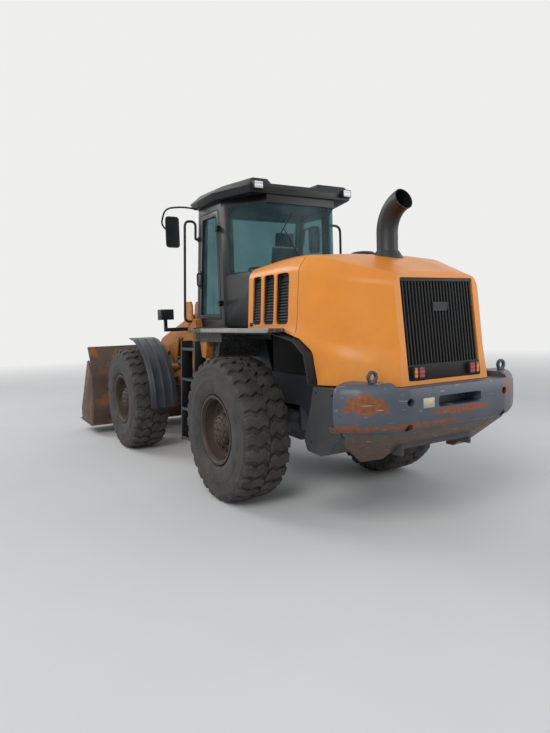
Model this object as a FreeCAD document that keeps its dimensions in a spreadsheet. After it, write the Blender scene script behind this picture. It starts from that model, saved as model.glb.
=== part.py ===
import FreeCAD
import Part
import Sketcher
import math
import os

# Wheel loader with an articulated frame, in millimetres.
# X points forward, Y to the left, Z up; the origin lies on the ground under the frame hinge.

doc = FreeCAD.newDocument("wheel_loader")

# Driving sizes
# name, value, what it measures
SIZES = [
    ("wheelbase", 3250, "rear axle to front axle"),
    ("track", 2000, "left to right tyre centre"),
    ("tyre_radius", 745, "over the lug tips"),
    ("tread_half", 245, "half width of the tread"),
    ("sidewall_half", 260, "half width over the sidewalls"),
    ("tread_deep", 30, "depth of the tread grooves"),
    ("lug_count", 24, "tread bars round the tyre, and flats of its carcass"),
    ("seat_radius", 318, "bead seat of the rim"),
    ("flange_radius", 360, "rim flange"),
    ("rim_half", 235, "half width over the rim flanges"),
    ("rim_wall", 14, "rim plate thickness"),
    ("disc_offset", 70, "wheel disc outboard of the wheel centre"),
    ("hub_radius", 165, "wheel hub"),
    ("hub_inboard", 200, "hub end inboard of the wheel centre"),
    ("hub_outboard", 175, "hub cap outboard of the wheel centre"),
    ("spindle_radius", 80, "axle spindle in the hub"),
    ("spindle_length", 100, "axle spindle in the hub"),
    ("hub_gap", 10, "axle flange to hub"),
    ("seat_gap", 0.3, "between pieces that seat on each other"),
    ("fit", 0.05, "radial clearance of a pin in its bore"),
    ("side_gap", 6, "plates that swing past each other"),
    ("rail_slot", 10, "room beside a frame rail in the counterweight"),
    ("axle_tube", 130, "axle tube radius"),
    ("axle_bulge", 235, "axle centre radius"),
    ("axle_flange", 190, "axle end flange radius"),
    ("trunnion_radius", 100, "rear axle trunnion"),
    ("trunnion_half", 345, "half length of the trunnion"),
    ("rail_outer", 420, "half width over the frame rails"),
    ("rail_wall", 30, "frame rail plate"),
    ("frame_low", 560, "underside of both frames at the hinge"),
    ("frame_top", 1290, "top of the rear rails"),
    ("frame_rear", 3500, "rear end of the rails behind the hinge"),
    ("frame_front", 590, "front plate of the rear frame behind the hinge"),
    ("cab_post_top", 1640, "top of the rear frame under the cab"),
    ("engine_low", 1000, "underside of the engine"),
    ("hinge_pin", 50, "frame hinge pin radius"),
    ("hinge_nose", 140, "hinge lug nose radius"),
    ("lug_plate", 70, "front frame hinge lug"),
    ("fork_plate", 40, "rear frame hinge fork plate"),
    ("fork_gap", 5, "hinge lug to fork plate"),
    ("hinge_low", 600, "lower hinge height"),
    ("hinge_high", 1280, "upper hinge height"),
    ("tail", 3755, "rear face of the counterweight behind the hinge"),
    ("weight_half", 1060, "half width of the counterweight"),
    ("weight_top", 1290, "top of the counterweight"),
    ("weight_low", 940, "lower rear edge of the counterweight"),
    ("weight_belly", 640, "underside of the counterweight"),
    ("hitch_half", 250, "half width of the hitch slot"),
    ("hitch_tall", 90, "height of the hitch slot"),
    ("hitch_level", 1170, "middle of the hitch slot"),
    ("hitch_pin", 20, "hitch pin hole radius"),
    ("eye_ring", 38, "lifting eye radius to the bar centre"),
    ("eye_bar", 12, "lifting eye bar radius"),
    ("eye_side", 763, "lifting eye off the middle"),
    ("deck_level", 1780, "top of the walkways"),
    ("deck_plate", 40, "walkway thickness"),
    ("deck_outer", 1120, "outer edge of the walkways"),
    ("deck_front", 780, "walkway front edge behind the hinge"),
    ("ladder_front", 480, "front of the ladder behind the hinge"),
    ("deck_rear", 2380, "walkway rear edge behind the hinge"),
    ("cab_floor_level", 1800, "top of the cab floor"),
    ("cab_front", 200, "cab front at the floor behind the hinge"),
    ("cab_lean", 180, "how far the cab front leans back at the roof"),
    ("cab_post", 980, "rear door post behind the hinge"),
    ("cab_rear", 1500, "cab rear wall behind the hinge"),
    ("cab_half", 755, "half width of the cab at the rear door post"),
    ("cab_front_half", 755, "half width of the cab front"),
    ("cab_rear_half", 450, "half width of the cab rear wall"),
    ("cab_wall", 55, "cab post thickness"),
    ("cab_top", 3220, "top of the cab frame"),
    ("door_hinge_x", -930, "door hinge"),
    ("door_hinge_y", 790, "door hinge off the middle"),
    ("hinge_knuckle", 14, "radius of the door and hood hinge knuckles"),
    ("hinge_bolt", 7, "radius of the door and hood hinge pins"),
    ("lid_hinge_z", 2466, "hood hinge height"),
    ("sill", 2400, "rear window sill"),
    ("window_low", 1880, "lower edge of door and front window"),
    ("window_high", 3130, "upper edge of the windows"),
    ("glass", 8, "glass thickness"),
    ("roof_top", 3380, "top of the cab roof"),
    ("cowl_front", 1800, "front of the fixed cowl behind the hinge"),
    ("hood_gap_place", 2690, "gap between cowl and hood behind the hinge"),
    ("hood_gap", 8, "gap between cowl and hood"),
    ("hood_wall", 20, "hood thickness"),
    ("hood_low", 1296, "lower edge of the hood"),
    ("grille_half", 424, "half width of the rear grille"),
    ("grille_low", 1330, "lower edge of the rear grille"),
    ("grille_high", 2172, "upper edge of the rear grille"),
    ("grille_rib", 14, "grille rib width"),
    ("grille_pitch", 36, "grille rib spacing"),
    ("grille_strip", 130, "plain strip under the grille ribs"),
    ("grille_sunk", 20, "how deep the grille lies behind its ribs"),
    ("stack_radius", 98, "exhaust pipe radius"),
    ("stack_wall", 6, "exhaust pipe wall"),
    ("stack_bend", 280, "exhaust bend radius"),
    ("stack_foot", 2385, "underside of the exhaust collar"),
    ("stack_straight", 240, "straight length of exhaust below the bend"),
    ("stack_turn", 85, "angle of the exhaust bend"),
    ("boom_pivot_x", 500, "boom pivot ahead of the hinge"),
    ("boom_pivot_z", 1860, "boom pivot height"),
    ("bucket_pin_x", 2560, "bucket pin ahead of the hinge"),
    ("bucket_pin_z", 430, "bucket pin height"),
    ("arm_centre", 480, "boom arm off the middle"),
    ("arm_plate", 60, "boom arm thickness"),
    ("tower_inner", 415, "outer face of the inner tower plate"),
    ("tower_outer", 570, "outer face of the outer tower plate"),
    ("tower_plate", 25, "tower plate thickness"),
    ("boom_pin", 45, "boom pivot pin radius"),
    ("bucket_pin", 40, "bucket pin radius"),
    ("lift_base_x", 180, "lift cylinder base pin ahead of the hinge"),
    ("lift_base_z", 880, "lift cylinder base pin height"),
    ("lift_eye_x", 1200, "lift cylinder rod eye ahead of the hinge"),
    ("lift_eye_z", 1330, "lift cylinder rod eye height"),
    ("lift_bore", 55, "lift cylinder barrel radius"),
    ("lift_rod", 28, "lift cylinder rod radius"),
    ("lift_barrel_length", 985, "lift cylinder barrel"),
    ("lift_rod_length", 958, "lift cylinder rod"),
    ("crank_x", 2150, "bellcrank pivot ahead of the hinge"),
    ("crank_z", 1050, "bellcrank pivot height"),
    ("crank_top_x", 2259, "tilt cylinder pin on the bellcrank, ahead of the hinge"),
    ("crank_top_z", 1446, "tilt cylinder pin on the bellcrank, height"),
    ("crank_low_x", 2220, "link pin on the bellcrank, ahead of the hinge"),
    ("crank_low_z", 430, "link pin on the bellcrank, height"),
    ("bucket_link_x", 2650, "link pin on the bucket, ahead of the hinge"),
    ("bucket_link_z", 710, "link pin on the bucket, height"),
    ("crank_pin", 45, "bellcrank pin radius"),
    ("link_pin", 35, "link pin radius"),
    ("crank_half", 70, "half width of the bellcrank at its pivot"),
    ("crank_plate", 24, "bellcrank upper arm plate"),
    ("crank_ear", 28, "bellcrank bracket plate"),
    ("tilt_base_x", 500, "tilt cylinder base pin ahead of the hinge, in line with the boom pivot"),
    ("tilt_base_z", 1860, "tilt cylinder base pin height"),
    ("tilt_bore", 72, "tilt cylinder barrel radius"),
    ("tilt_rod", 38, "tilt cylinder rod radius"),
    ("tilt_barrel_length", 1180, "tilt cylinder barrel"),
    ("tilt_rod_length", 1240, "tilt cylinder rod"),
    ("steer_base_x", -520, "steering cylinder base pin"),
    ("steer_base_y", 260, "steering cylinder base pin"),
    ("steer_eye_x", 350, "steering cylinder rod eye"),
    ("steer_eye_y", 250, "steering cylinder rod eye"),
    ("steer_level", 930, "height of the steering cylinders"),
    ("steer_bore", 38, "steering cylinder barrel radius"),
    ("steer_rod", 22, "steering cylinder rod radius"),
    ("steer_barrel_length", 590, "steering cylinder barrel"),
    ("steer_rod_length", 560, "steering cylinder rod"),
    ("pin_radius", 30, "cylinder base pin radius"),
    ("bucket_half", 1370, "half width of the bucket"),
    ("bucket_tip", 3820, "cutting edge ahead of the hinge"),
    ("bucket_tip_z", 200, "cutting edge height"),
    ("bucket_plate", 25, "bucket plate"),
    ("fender_radius", 905, "front fender about the axle"),
    ("fender_plate", 14, "fender plate thickness"),
    ("fender_inner", 700, "inner edge of the front fenders"),
    ("fender_outer", 1085, "outer edge of the front fenders"),
    ("fender_rib", 10, "height of the ribs round the front fenders"),
]


class Size:
    """A length known both as a number and as a formula on the sheet."""

    def __init__(self, value, text):
        self.value = float(value)
        self.text = text

    def __add__(self, other):
        other = size(other)
        return Size(self.value + other.value, f"({self.text} + {other.text})")

    def __sub__(self, other):
        other = size(other)
        return Size(self.value - other.value, f"({self.text} - {other.text})")

    def __mul__(self, other):
        other = size(other)
        return Size(self.value * other.value, f"({self.text} * {other.text})")

    def __truediv__(self, other):
        other = size(other)
        return Size(self.value / other.value, f"({self.text} / {other.text})")

    def __radd__(self, other):
        return size(other) + self

    def __rsub__(self, other):
        return size(other) - self

    def __rmul__(self, other):
        return size(other) * self

    def __neg__(self):
        return Size(-self.value, f"(0 - {self.text})")


def size(number):
    """A plain number becomes a size with no name."""
    if isinstance(number, Size):
        return number
    return Size(number, repr(round(float(number), 6)))


def distance(run, rise):
    run, rise = size(run), size(rise)
    return Size(math.hypot(run.value, rise.value), f"hypot({run.text}; {rise.text})")


def heading(run, rise):
    """Angle in degrees of a line with this run and rise."""
    run, rise = size(run), size(rise)
    return Size(math.degrees(math.atan2(rise.value, run.value)), f"atan2({rise.text}; {run.text})")


sheet = doc.addObject("Spreadsheet::Sheet", "Sizes")
S = type("Sheet", (), {})()
for row, (alias, value, note) in enumerate(SIZES, 1):
    sheet.set(f"A{row}", alias)
    sheet.set(f"B{row}", str(value))
    sheet.set(f"C{row}", note)
    sheet.setAlias(f"B{row}", alias)
    setattr(S, alias, Size(value, f"Sizes.{alias}"))
doc.recompute()


def bind(thing, prop, value):
    """Sets a property to a size, with its formula where it has one."""
    value = size(value)
    if "Sizes." in value.text:
        thing.setExpression(prop, value.text)
    return value.value


# Work planes: the axis a pad grows along, the sketch offset's sign, and whether a pad is reversed
PLANES = {"XY": ("XY_Plane", 1, False), "XZ": ("XZ_Plane", -1, True), "YZ": ("YZ_Plane", 1, False)}


class Piece:
    """One rigid piece: a PartDesign body whose label names its file."""

    def __init__(self, label):
        self.body = doc.addObject("PartDesign::Body", label)
        self.body.Label = label
        self.body.AllowCompound = True
        self.count = 0
        pieces.append(self)

    def name(self, what):
        self.count += 1
        return f"{self.body.Label}_{what}_{self.count}"

    def plane(self, role):
        return [part for part in self.body.Origin.OriginFeatures if part.Role == role][0]

    def sketch(self, plane, level):
        role, sign, _ = PLANES[plane]
        drawing = self.body.newObject("Sketcher::SketchObject", self.name("sketch"))
        drawing.AttachmentSupport = [(self.plane(role), "")]
        drawing.MapMode = "FlatFace"
        level = size(level) if sign > 0 else -size(level)
        drawing.AttachmentOffset = FreeCAD.Placement(FreeCAD.Vector(0, 0, level.value), FreeCAD.Rotation())
        bind(drawing, "AttachmentOffset.Base.z", level)
        return drawing

    def outline(self, plane, corners, level=0):
        """A closed outline; a corner is (across, up) or (across, up, radius)."""
        drawing = self.sketch(plane, level)
        draw_outline(drawing, corners)
        return drawing

    def circles(self, plane, circles, level=0):
        """Circles given as (across, up, radius)."""
        drawing = self.sketch(plane, level)
        for number, (across, up, radius) in enumerate(circles):
            across, up, radius = size(across), size(up), size(radius)
            centre = FreeCAD.Vector(across.value, up.value, 0)
            drawing.addGeometry(Part.Circle(centre, FreeCAD.Vector(0, 0, 1), radius.value), False)
            place_point(drawing, number, 3, across, up)
            constrain(drawing, Sketcher.Constraint("Radius", number, radius.value), radius)
        return drawing

    def feature(self, kind, what, drawing, plane, length, cut):
        grown = self.body.newObject(kind, self.name(what))
        grown.Profile = drawing
        grown.Length = size(length).value
        bind(grown, "Length", length)
        grown.Reversed = PLANES[plane][2] != cut
        return grown

    def pad(self, what, plane, corners, start, end):
        drawing = self.outline(plane, corners, start)
        return self.feature("PartDesign::Pad", what, drawing, plane, size(end) - start, False)

    def cut(self, what, plane, corners, start, end):
        drawing = self.outline(plane, corners, start)
        return self.feature("PartDesign::Pocket", what, drawing, plane, size(end) - start, True)

    def pad_round(self, what, plane, circles, start, end):
        drawing = self.circles(plane, circles, start)
        return self.feature("PartDesign::Pad", what, drawing, plane, size(end) - start, False)

    def cut_round(self, what, plane, circles, start, end):
        drawing = self.circles(plane, circles, start)
        return self.feature("PartDesign::Pocket", what, drawing, plane, size(end) - start, True)

    def turn(self, what, plane, corners, axis, cut=False, level=0):
        drawing = self.outline(plane, corners, level)
        kind = "PartDesign::Groove" if cut else "PartDesign::Revolution"
        turned = self.body.newObject(kind, self.name(what))
        turned.Profile = drawing
        turned.ReferenceAxis = (drawing, [axis])
        turned.Angle = 360
        return turned

    def loft(self, what, plane, sections, cut=False):
        """A straight loft through (level, corners) sections."""
        drawings = [self.outline(plane, corners, level) for level, corners in sections]
        kind = "PartDesign::SubtractiveLoft" if cut else "PartDesign::AdditiveLoft"
        lofted = self.body.newObject(kind, self.name(what))
        lofted.Profile = drawings[0]
        lofted.Sections = drawings[1:]
        lofted.Ruled = True
        return lofted

    def mirror(self, what, features, role="XZ_Plane"):
        copied = self.body.newObject("PartDesign::Mirrored", self.name(what))
        copied.Originals = features
        copied.MirrorPlane = (self.plane(role), [""])
        self.body.Tip = copied
        return copied

    def repeat(self, what, features, axis, length, count):
        """A row of copies along one of the body's axes."""
        row = self.body.newObject("PartDesign::LinearPattern", self.name(what))
        row.Originals = features
        row.Direction = (self.plane(axis), [""])
        row.Length = size(length).value
        bind(row, "Length", length)
        row.Occurrences = count
        self.body.Tip = row
        return row

    def ring(self, what, features, axis, count):
        """Copies spread evenly round one of the body's axes."""
        spread = self.body.newObject("PartDesign::PolarPattern", self.name(what))
        spread.Originals = features
        spread.Axis = (self.plane(axis), [""])
        spread.Angle = 360
        spread.Occurrences = int(count.value)
        bind(spread, "Occurrences", count)
        self.body.Tip = spread
        return spread

    def soften(self, what, radius, chosen):
        """Rounds the edges of the present shape that the test picks."""
        doc.recompute()
        base = self.body.Tip
        names = [f"Edge{i}" for i, edge in enumerate(base.Shape.Edges, 1) if chosen(edge)]
        rounded = self.body.newObject("PartDesign::Fillet", self.name(what))
        rounded.Base = (base, names)
        rounded.Radius = size(radius).value
        bind(rounded, "Radius", radius)
        return rounded

    def copy_of(self, other):
        """Takes the finished shape of another piece."""
        self.body.BaseFeature = other.body.Tip

    def place(self, x=0, y=0, z=0, axis=None, angle=0):
        """Puts the finished piece at its place, turned about one axis."""
        spot = FreeCAD.Vector(size(x).value, size(y).value, size(z).value)
        turned = FreeCAD.Rotation(FreeCAD.Vector(*(axis or (0, 0, 1))), size(angle).value)
        self.body.Placement = FreeCAD.Placement(spot, turned)
        for letter, value in zip("xyz", (x, y, z)):
            bind(self.body, f"Placement.Base.{letter}", value)
        if axis:
            bind(self.body, "Placement.Rotation.Angle", angle)


def constrain(drawing, constraint, value=None):
    number = drawing.addConstraint(constraint)
    if value is not None:
        bind(drawing, f"Constraints[{number}]", value)


def place_point(drawing, geometry, end, across, up):
    """Holds a point of the sketch at its two sizes from the sketch's origin."""
    constrain(drawing, Sketcher.Constraint("DistanceX", -1, 1, geometry, end, across.value), across)
    constrain(drawing, Sketcher.Constraint("DistanceY", -1, 1, geometry, end, up.value), up)


def draw_outline(drawing, corners):
    """Draws the closed outline of lines, with an arc at each corner that has a radius."""
    count = len(corners)
    across = [size(corner[0]) for corner in corners]
    up = [size(corner[1]) for corner in corners]
    radius = [size(corner[2]) if len(corner) == 3 else None for corner in corners]
    spots = [FreeCAD.Vector(a.value, b.value, 0) for a, b in zip(across, up)]
    arrive, leave, arcs = list(spots), list(spots), {}
    for i in range(count):
        if radius[i] is None:
            continue
        back = (spots[i - 1] - spots[i]).normalize()
        ahead = (spots[(i + 1) % count] - spots[i]).normalize()
        half = back.getAngle(ahead) / 2
        reach = radius[i].value / math.tan(half)
        arrive[i] = spots[i] + back * reach
        leave[i] = spots[i] + ahead * reach
        centre = spots[i] + (back + ahead).normalize() * (radius[i].value / math.sin(half))
        left = ahead.cross(back).z > 0
        ends = (arrive[i], leave[i]) if left else (leave[i], arrive[i])
        angles = [math.atan2(end.y - centre.y, end.x - centre.x) for end in ends]
        circle = Part.Circle(centre, FreeCAD.Vector(0, 0, 1), radius[i].value)
        arcs[i] = (Part.ArcOfCircle(circle, angles[0], angles[1]), left)
    for i in range(count):
        drawing.addGeometry(Part.LineSegment(leave[i], arrive[(i + 1) % count]), False)
    for i in range(count):
        before = (i - 1) % count
        if radius[i] is None:
            constrain(drawing, Sketcher.Constraint("Coincident", before, 2, i, 1))
            place_point(drawing, i, 1, across[i], up[i])
            continue
        shape, left = arcs[i]
        arc = drawing.addGeometry(shape, False)
        first, last = (1, 2) if left else (2, 1)
        constrain(drawing, Sketcher.Constraint("Tangent", before, 2, arc, first))
        constrain(drawing, Sketcher.Constraint("Tangent", i, 1, arc, last))
        constrain(drawing, Sketcher.Constraint("Radius", arc, radius[i].value), radius[i])
        corner = drawing.addGeometry(Part.Point(spots[i]), True)
        place_point(drawing, corner, 1, across[i], up[i])
        constrain(drawing, Sketcher.Constraint("PointOnObject", corner, 1, before))
        constrain(drawing, Sketcher.Constraint("PointOnObject", corner, 1, i))


def box(x0, x1, y0, y1):
    """Corners of a rectangle."""
    return [(x0, y0), (x1, y0), (x1, y1), (x0, y1)]


def both_ways(corners):
    """An outline finished by its mirror image across the up axis."""
    return corners + [(-size(c[0]),) + tuple(c[1:]) for c in reversed(corners)]


def side_span(side, near, far):
    """Start and end of a span on the left (1) or right (-1)."""
    return (near, far) if side > 0 else (-size(far), -size(near))


pieces = []
rear_axle_x = -S.wheelbase / 2
front_axle_x = S.wheelbase / 2
rail_inner = S.rail_outer - S.rail_wall
axle_level = S.tyre_radius
deck_low = S.deck_level - S.deck_plate


def rear_chassis():
    """Rails, cross plates, axle cradle, cab posts and the hinge fork."""
    piece = Piece("rear_chassis")
    rail = [(-S.frame_rear, 700), (-2250, 700), (-2050, 960), (rear_axle_x + 425, 960),
            (-1050, S.frame_low),
            (-S.frame_front, S.frame_low), (-S.frame_front, S.cab_post_top), (-1300, S.cab_post_top),
            (-1450, S.frame_top), (-S.frame_rear, S.frame_top)]
    for side in (1, -1):
        piece.pad("rail", "XZ", rail, *side_span(side, rail_inner, S.rail_outer))
    across = box(-rail_inner, rail_inner, S.hinge_low - 80, S.cab_post_top)
    piece.pad("front_plate", "YZ", across, -S.frame_front - S.rail_wall, -S.frame_front)
    piece.pad("tail_plate", "YZ", box(-rail_inner, rail_inner, 760, S.frame_top - 20), -S.frame_rear,
              S.rail_wall - S.frame_rear)
    cradle = box(-rail_inner, rail_inner, axle_level - 60, 1080)
    for end in (-1, 1):
        middle = rear_axle_x + end * (S.trunnion_half - 25)
        piece.pad("cradle", "YZ", cradle, middle - 25, middle + 25)
        piece.cut_round("bore", "YZ", [(0, axle_level, S.trunnion_radius + S.fit)], middle - 26,
                        middle + 26)
    for place in (-2130, -2950):
        piece.pad("engine_mount", "YZ", box(-rail_inner, rail_inner, 930, S.engine_low - S.seat_gap), place,
                  place + 80)
    for end in (-1, 1):
        low = S.hinge_low if end < 0 else S.hinge_high
        for way in (-1, 1):
            face = low + way * (S.lug_plate / 2 + S.fork_gap)
            far = face + way * S.fork_plate
            bottom, top = (far, face) if way < 0 else (face, far)
            fork = [(-S.frame_front, -240), (-S.frame_front, 240), (0, S.hinge_nose + 10),
                    (0, -S.hinge_nose - 10)]
            piece.pad("fork", "XY", fork, bottom, top)
            piece.pad_round("fork_nose", "XY", [(0, 0, S.hinge_nose + 10)], bottom, top)
            piece.cut_round("pin_bore", "XY", [(0, 0, S.hinge_pin + S.fit)], bottom - 1, top + 1)
    for side in (1, -1):
        for base in (-1, 1):
            level = S.steer_level + base * (S.steer_bore + 5)
            low, high = (level - 20, level) if base < 0 else (level, level + 20)
            near, far = side_span(side, S.steer_base_y - 50, S.steer_base_y + 50)
            piece.pad("steer_lug", "XY", box(-S.frame_front - 1, S.steer_base_x + 45, near, far), low, high)
            piece.cut_round("steer_bore", "XY", [(S.steer_base_x, side * S.steer_base_y, S.pin_radius)],
                            low - 1, high + 1)
        piece.pad_round("steer_pin", "XY", [(S.steer_base_x, side * S.steer_base_y, S.pin_radius)],
                        S.steer_level - S.steer_bore - 25, S.steer_level + S.steer_bore + 25)


def hinge_pins():
    """The two upright pins that join the frames."""
    piece = Piece("hinge_pins")
    reach = S.lug_plate / 2 + S.fork_gap + S.fork_plate
    for level in (S.hinge_low, S.hinge_high):
        piece.pad_round("pin", "XY", [(0, 0, S.hinge_pin)], level - reach - 10, level + reach + 10)


def axle_outline():
    """Half section of an axle: radius against distance from the middle."""
    flange = S.track / 2 - S.hub_inboard - S.hub_gap
    half = [(0, flange + S.spindle_length), (S.spindle_radius, flange + S.spindle_length),
            (S.spindle_radius, flange), (S.axle_flange, flange), (S.axle_flange, flange - 45),
            (S.axle_tube, flange - 90), (S.axle_tube, 420), (S.axle_bulge, 190)]
    return half + [(corner[0], -size(corner[1])) for corner in reversed(half)]


def axles():
    """Rear axle on its trunnion, and front axle with its pads under the frame."""
    rear = Piece("rear_axle")
    rear.turn("housing", "XY", axle_outline(), "V_Axis")
    rear.pad_round("trunnion", "YZ", [(0, 0, S.trunnion_radius)], -S.trunnion_half, S.trunnion_half)
    rear.place(rear_axle_x, 0, axle_level)
    front = Piece("front_axle")
    front.turn("housing", "XY", axle_outline(), "V_Axis")
    for side in (1, -1):
        front.pad("pad", "XZ", box(-110, 110, 0, S.axle_tube + 30), *side_span(side, 340, 480))
    front.place(front_axle_x, 0, axle_level)


def counterweight():
    """Cast weight that wraps the tail, with raised horns and a hitch slot."""
    piece = Piece("counterweight")
    half = [(-3190, S.weight_half - 155), (-3340, S.weight_half, 40), (-3500, S.weight_half - 90, 90),
            (-3700, S.weight_half - 360, 150), (-S.tail, S.weight_half - 460, 60)]
    plan = half + [(corner[0], -size(corner[1])) + tuple(corner[2:]) for corner in reversed(half)]
    piece.pad("block", "XY", plan, S.weight_belly, S.weight_top + 50)
    ledge = [(-3180, 835), (-3510, 628), (-S.tail - 10, 628), (-S.tail - 10, -628), (-3510, -628),
             (-3180, -835)]
    piece.cut("ledge", "XY", ledge, S.weight_top, S.weight_top + 60)
    piece.cut("brow", "XZ", [(-S.tail - 10, S.weight_top + 60), (-S.tail - 10, S.weight_top - 40),
                             (-S.tail + 90, S.weight_top + 60)], -S.weight_half, S.weight_half)
    belly = [(-S.tail - 10, S.weight_belly - 10), (-3250, S.weight_belly - 10), (-3690, S.weight_low - 10),
             (-S.tail - 10, S.weight_low + 60)]
    piece.cut("belly", "XZ", belly, -S.weight_half - 10, S.weight_half + 10)
    for side in (1, -1):
        belly = [(side * (S.weight_half - 400), S.weight_belly - 10),
                 (side * (S.weight_half + 10), S.weight_belly - 10),
                 (side * (S.weight_half + 10), S.weight_low - 20),
                 (side * (S.weight_half - 60), S.weight_low - 60)]
        piece.cut("side_belly", "YZ", belly, -S.tail - 10, -3180)
        slot = side_span(side, rail_inner - S.rail_slot, S.rail_outer + S.rail_slot)
        piece.cut("rail_slot", "XY", box(-S.frame_rear - S.seat_gap, -3180, *slot), S.weight_belly - 10,
                  S.weight_top + 60)
    piece.cut("body_space", "XY", box(-S.frame_rear - S.seat_gap, -3180, -rail_inner, rail_inner),
              S.weight_belly - 10, S.weight_top + 60)
    slot = box(-S.hitch_half, S.hitch_half, S.hitch_level - S.hitch_tall / 2,
               S.hitch_level + S.hitch_tall / 2)
    piece.cut("hitch_slot", "YZ", slot, -S.tail - 10, -S.tail + 170)
    piece.cut_round("hitch_hole", "XY", [(-S.tail + 75, 0, S.hitch_pin)], S.weight_low - 100,
                    S.weight_top + 60)
    for side in (1, -1):
        piece.cut_round("bolt_well", "YZ", [(side * 550, 1189, 32), (side * 550, 985, 32)], -S.tail - 10,
                        -S.tail + 60)


def lifting_eyes():
    """Two welded rings on the tail."""
    piece = Piece("lifting_eyes")
    for side in (1, -1):
        ring = S.eye_ring + S.eye_bar
        foot = S.weight_top + 50 + S.seat_gap
        level = foot + ring
        place = -3550
        piece.pad_round("ring", "YZ", [(side * S.eye_side, level, ring)], place - S.eye_bar,
                        place + S.eye_bar)
        piece.cut_round("hole", "YZ", [(side * S.eye_side, level, S.eye_ring - S.eye_bar)],
                        place - S.eye_bar - 1, place + S.eye_bar + 1)
        piece.pad("foot", "YZ", box(*side_span(side, S.eye_side - 38, S.eye_side + 38), foot,
                                    level - S.eye_ring),
                  place - S.eye_bar, place + S.eye_bar)


def engine_block():
    piece = Piece("engine_block")
    piece.pad("block", "XY", box(-3050, -1980, -330, 330), S.engine_low, 1800)


def side_boxes():
    """Battery and tool boxes under the hood, behind the rear wheels."""
    piece = Piece("side_boxes")
    for side in (1, -1):
        profile = [(-3180, 800), (-3180, S.hood_low - 6), (-2985, S.hood_low - 6), (-2900, 1000),
                   (-2800, 800),
                   (-2920, 700), (-3100, 700)]
        piece.pad("box", "XZ", profile, *side_span(side, S.rail_outer, 1000))


def rear_fenders():
    """Black liners of the rear wheel arches, hung under the walkways."""
    piece = Piece("rear_fenders")
    outer = [(-2990, 1310), (-2930, 1560), (-2760, 1675), (-2390, deck_low - S.seat_gap),
             (-1510, deck_low - S.seat_gap)]
    inner = [(-1510, deck_low - 14), (-2395, deck_low - 14), (-2752, 1661), (-2918, 1550), (-2976, 1310)]
    wall = outer + [(-1510, S.frame_top)]
    for side in (1, -1):
        piece.pad("arch", "XZ", outer + inner, *side_span(side, S.rail_outer + S.seat_gap, 985))
        piece.pad("wall", "XZ", wall, *side_span(side, S.rail_outer + S.seat_gap,
                                                 S.rail_outer + S.fender_plate))


def platforms():
    """Walkways beside the cab on the beams and brackets that carry them."""
    piece = Piece("platforms")
    for side in (1, -1):
        inner, outer = side_span(side, S.cab_half + 10, S.deck_outer)
        piece.pad("deck", "XY", box(-S.deck_rear, -S.deck_front, inner, outer), deck_low, S.deck_level)
        piece.pad("bearer", "XY", box(-S.cab_rear, -S.deck_front - 60,
                                      *side_span(side, S.cab_half + 10, S.deck_outer - 60)),
                  S.cab_post_top + S.seat_gap, deck_low)
        reach = side_span(side, S.rail_outer + S.seat_gap, S.deck_outer - 170)
        piece.pad("cab_beam", "XZ", box(-470, -S.frame_front - S.rail_wall, S.cab_post_top - 110,
                                        S.cab_post_top), *reach)
        piece.pad("bracket", "XZ", [(-1240, S.cab_post_top), (-1190, 1480), (-1100, 1440), (-1020, 1480),
                                    (-1000, S.cab_post_top)], *reach)


def ladders():
    """Ladders up to the walkways, leaning out at the foot."""
    piece = Piece("ladders")
    for side in (1, -1):
        width = side_span(side, S.deck_outer - 160, S.deck_outer - 20)
        for place in (-S.ladder_front - 25, -S.ladder_front - 415):
            stile = [(place, S.cab_post_top), (place + 25, S.cab_post_top), (place + 145, 430),
                     (place + 120, 430)]
            piece.pad("stile", "XZ", stile, *width)
        for step in range(4):
            level = 450 + step * 360
            shift = 120 - step * 33
            piece.pad("step", "XZ", box(-S.ladder_front - 410 + shift, -S.ladder_front - 10 + shift, level,
                                        level + 30),
                      *width)


def cab_plan(shrink, lean=0):
    """Plan outline of the cab, moved inward by a wall and back at the front."""
    turn = shrink * 0.55
    return [(-S.cab_front - lean - shrink, S.cab_front_half - shrink),
            (-S.cab_post - turn * 0.4, S.cab_half - shrink),
            (-S.cab_rear + shrink, S.cab_rear_half - turn), (-S.cab_rear + shrink, -S.cab_rear_half + turn),
            (-S.cab_post - turn * 0.4, -S.cab_half + shrink),
            (-S.cab_front - lean - shrink, -S.cab_front_half + shrink)]


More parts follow.
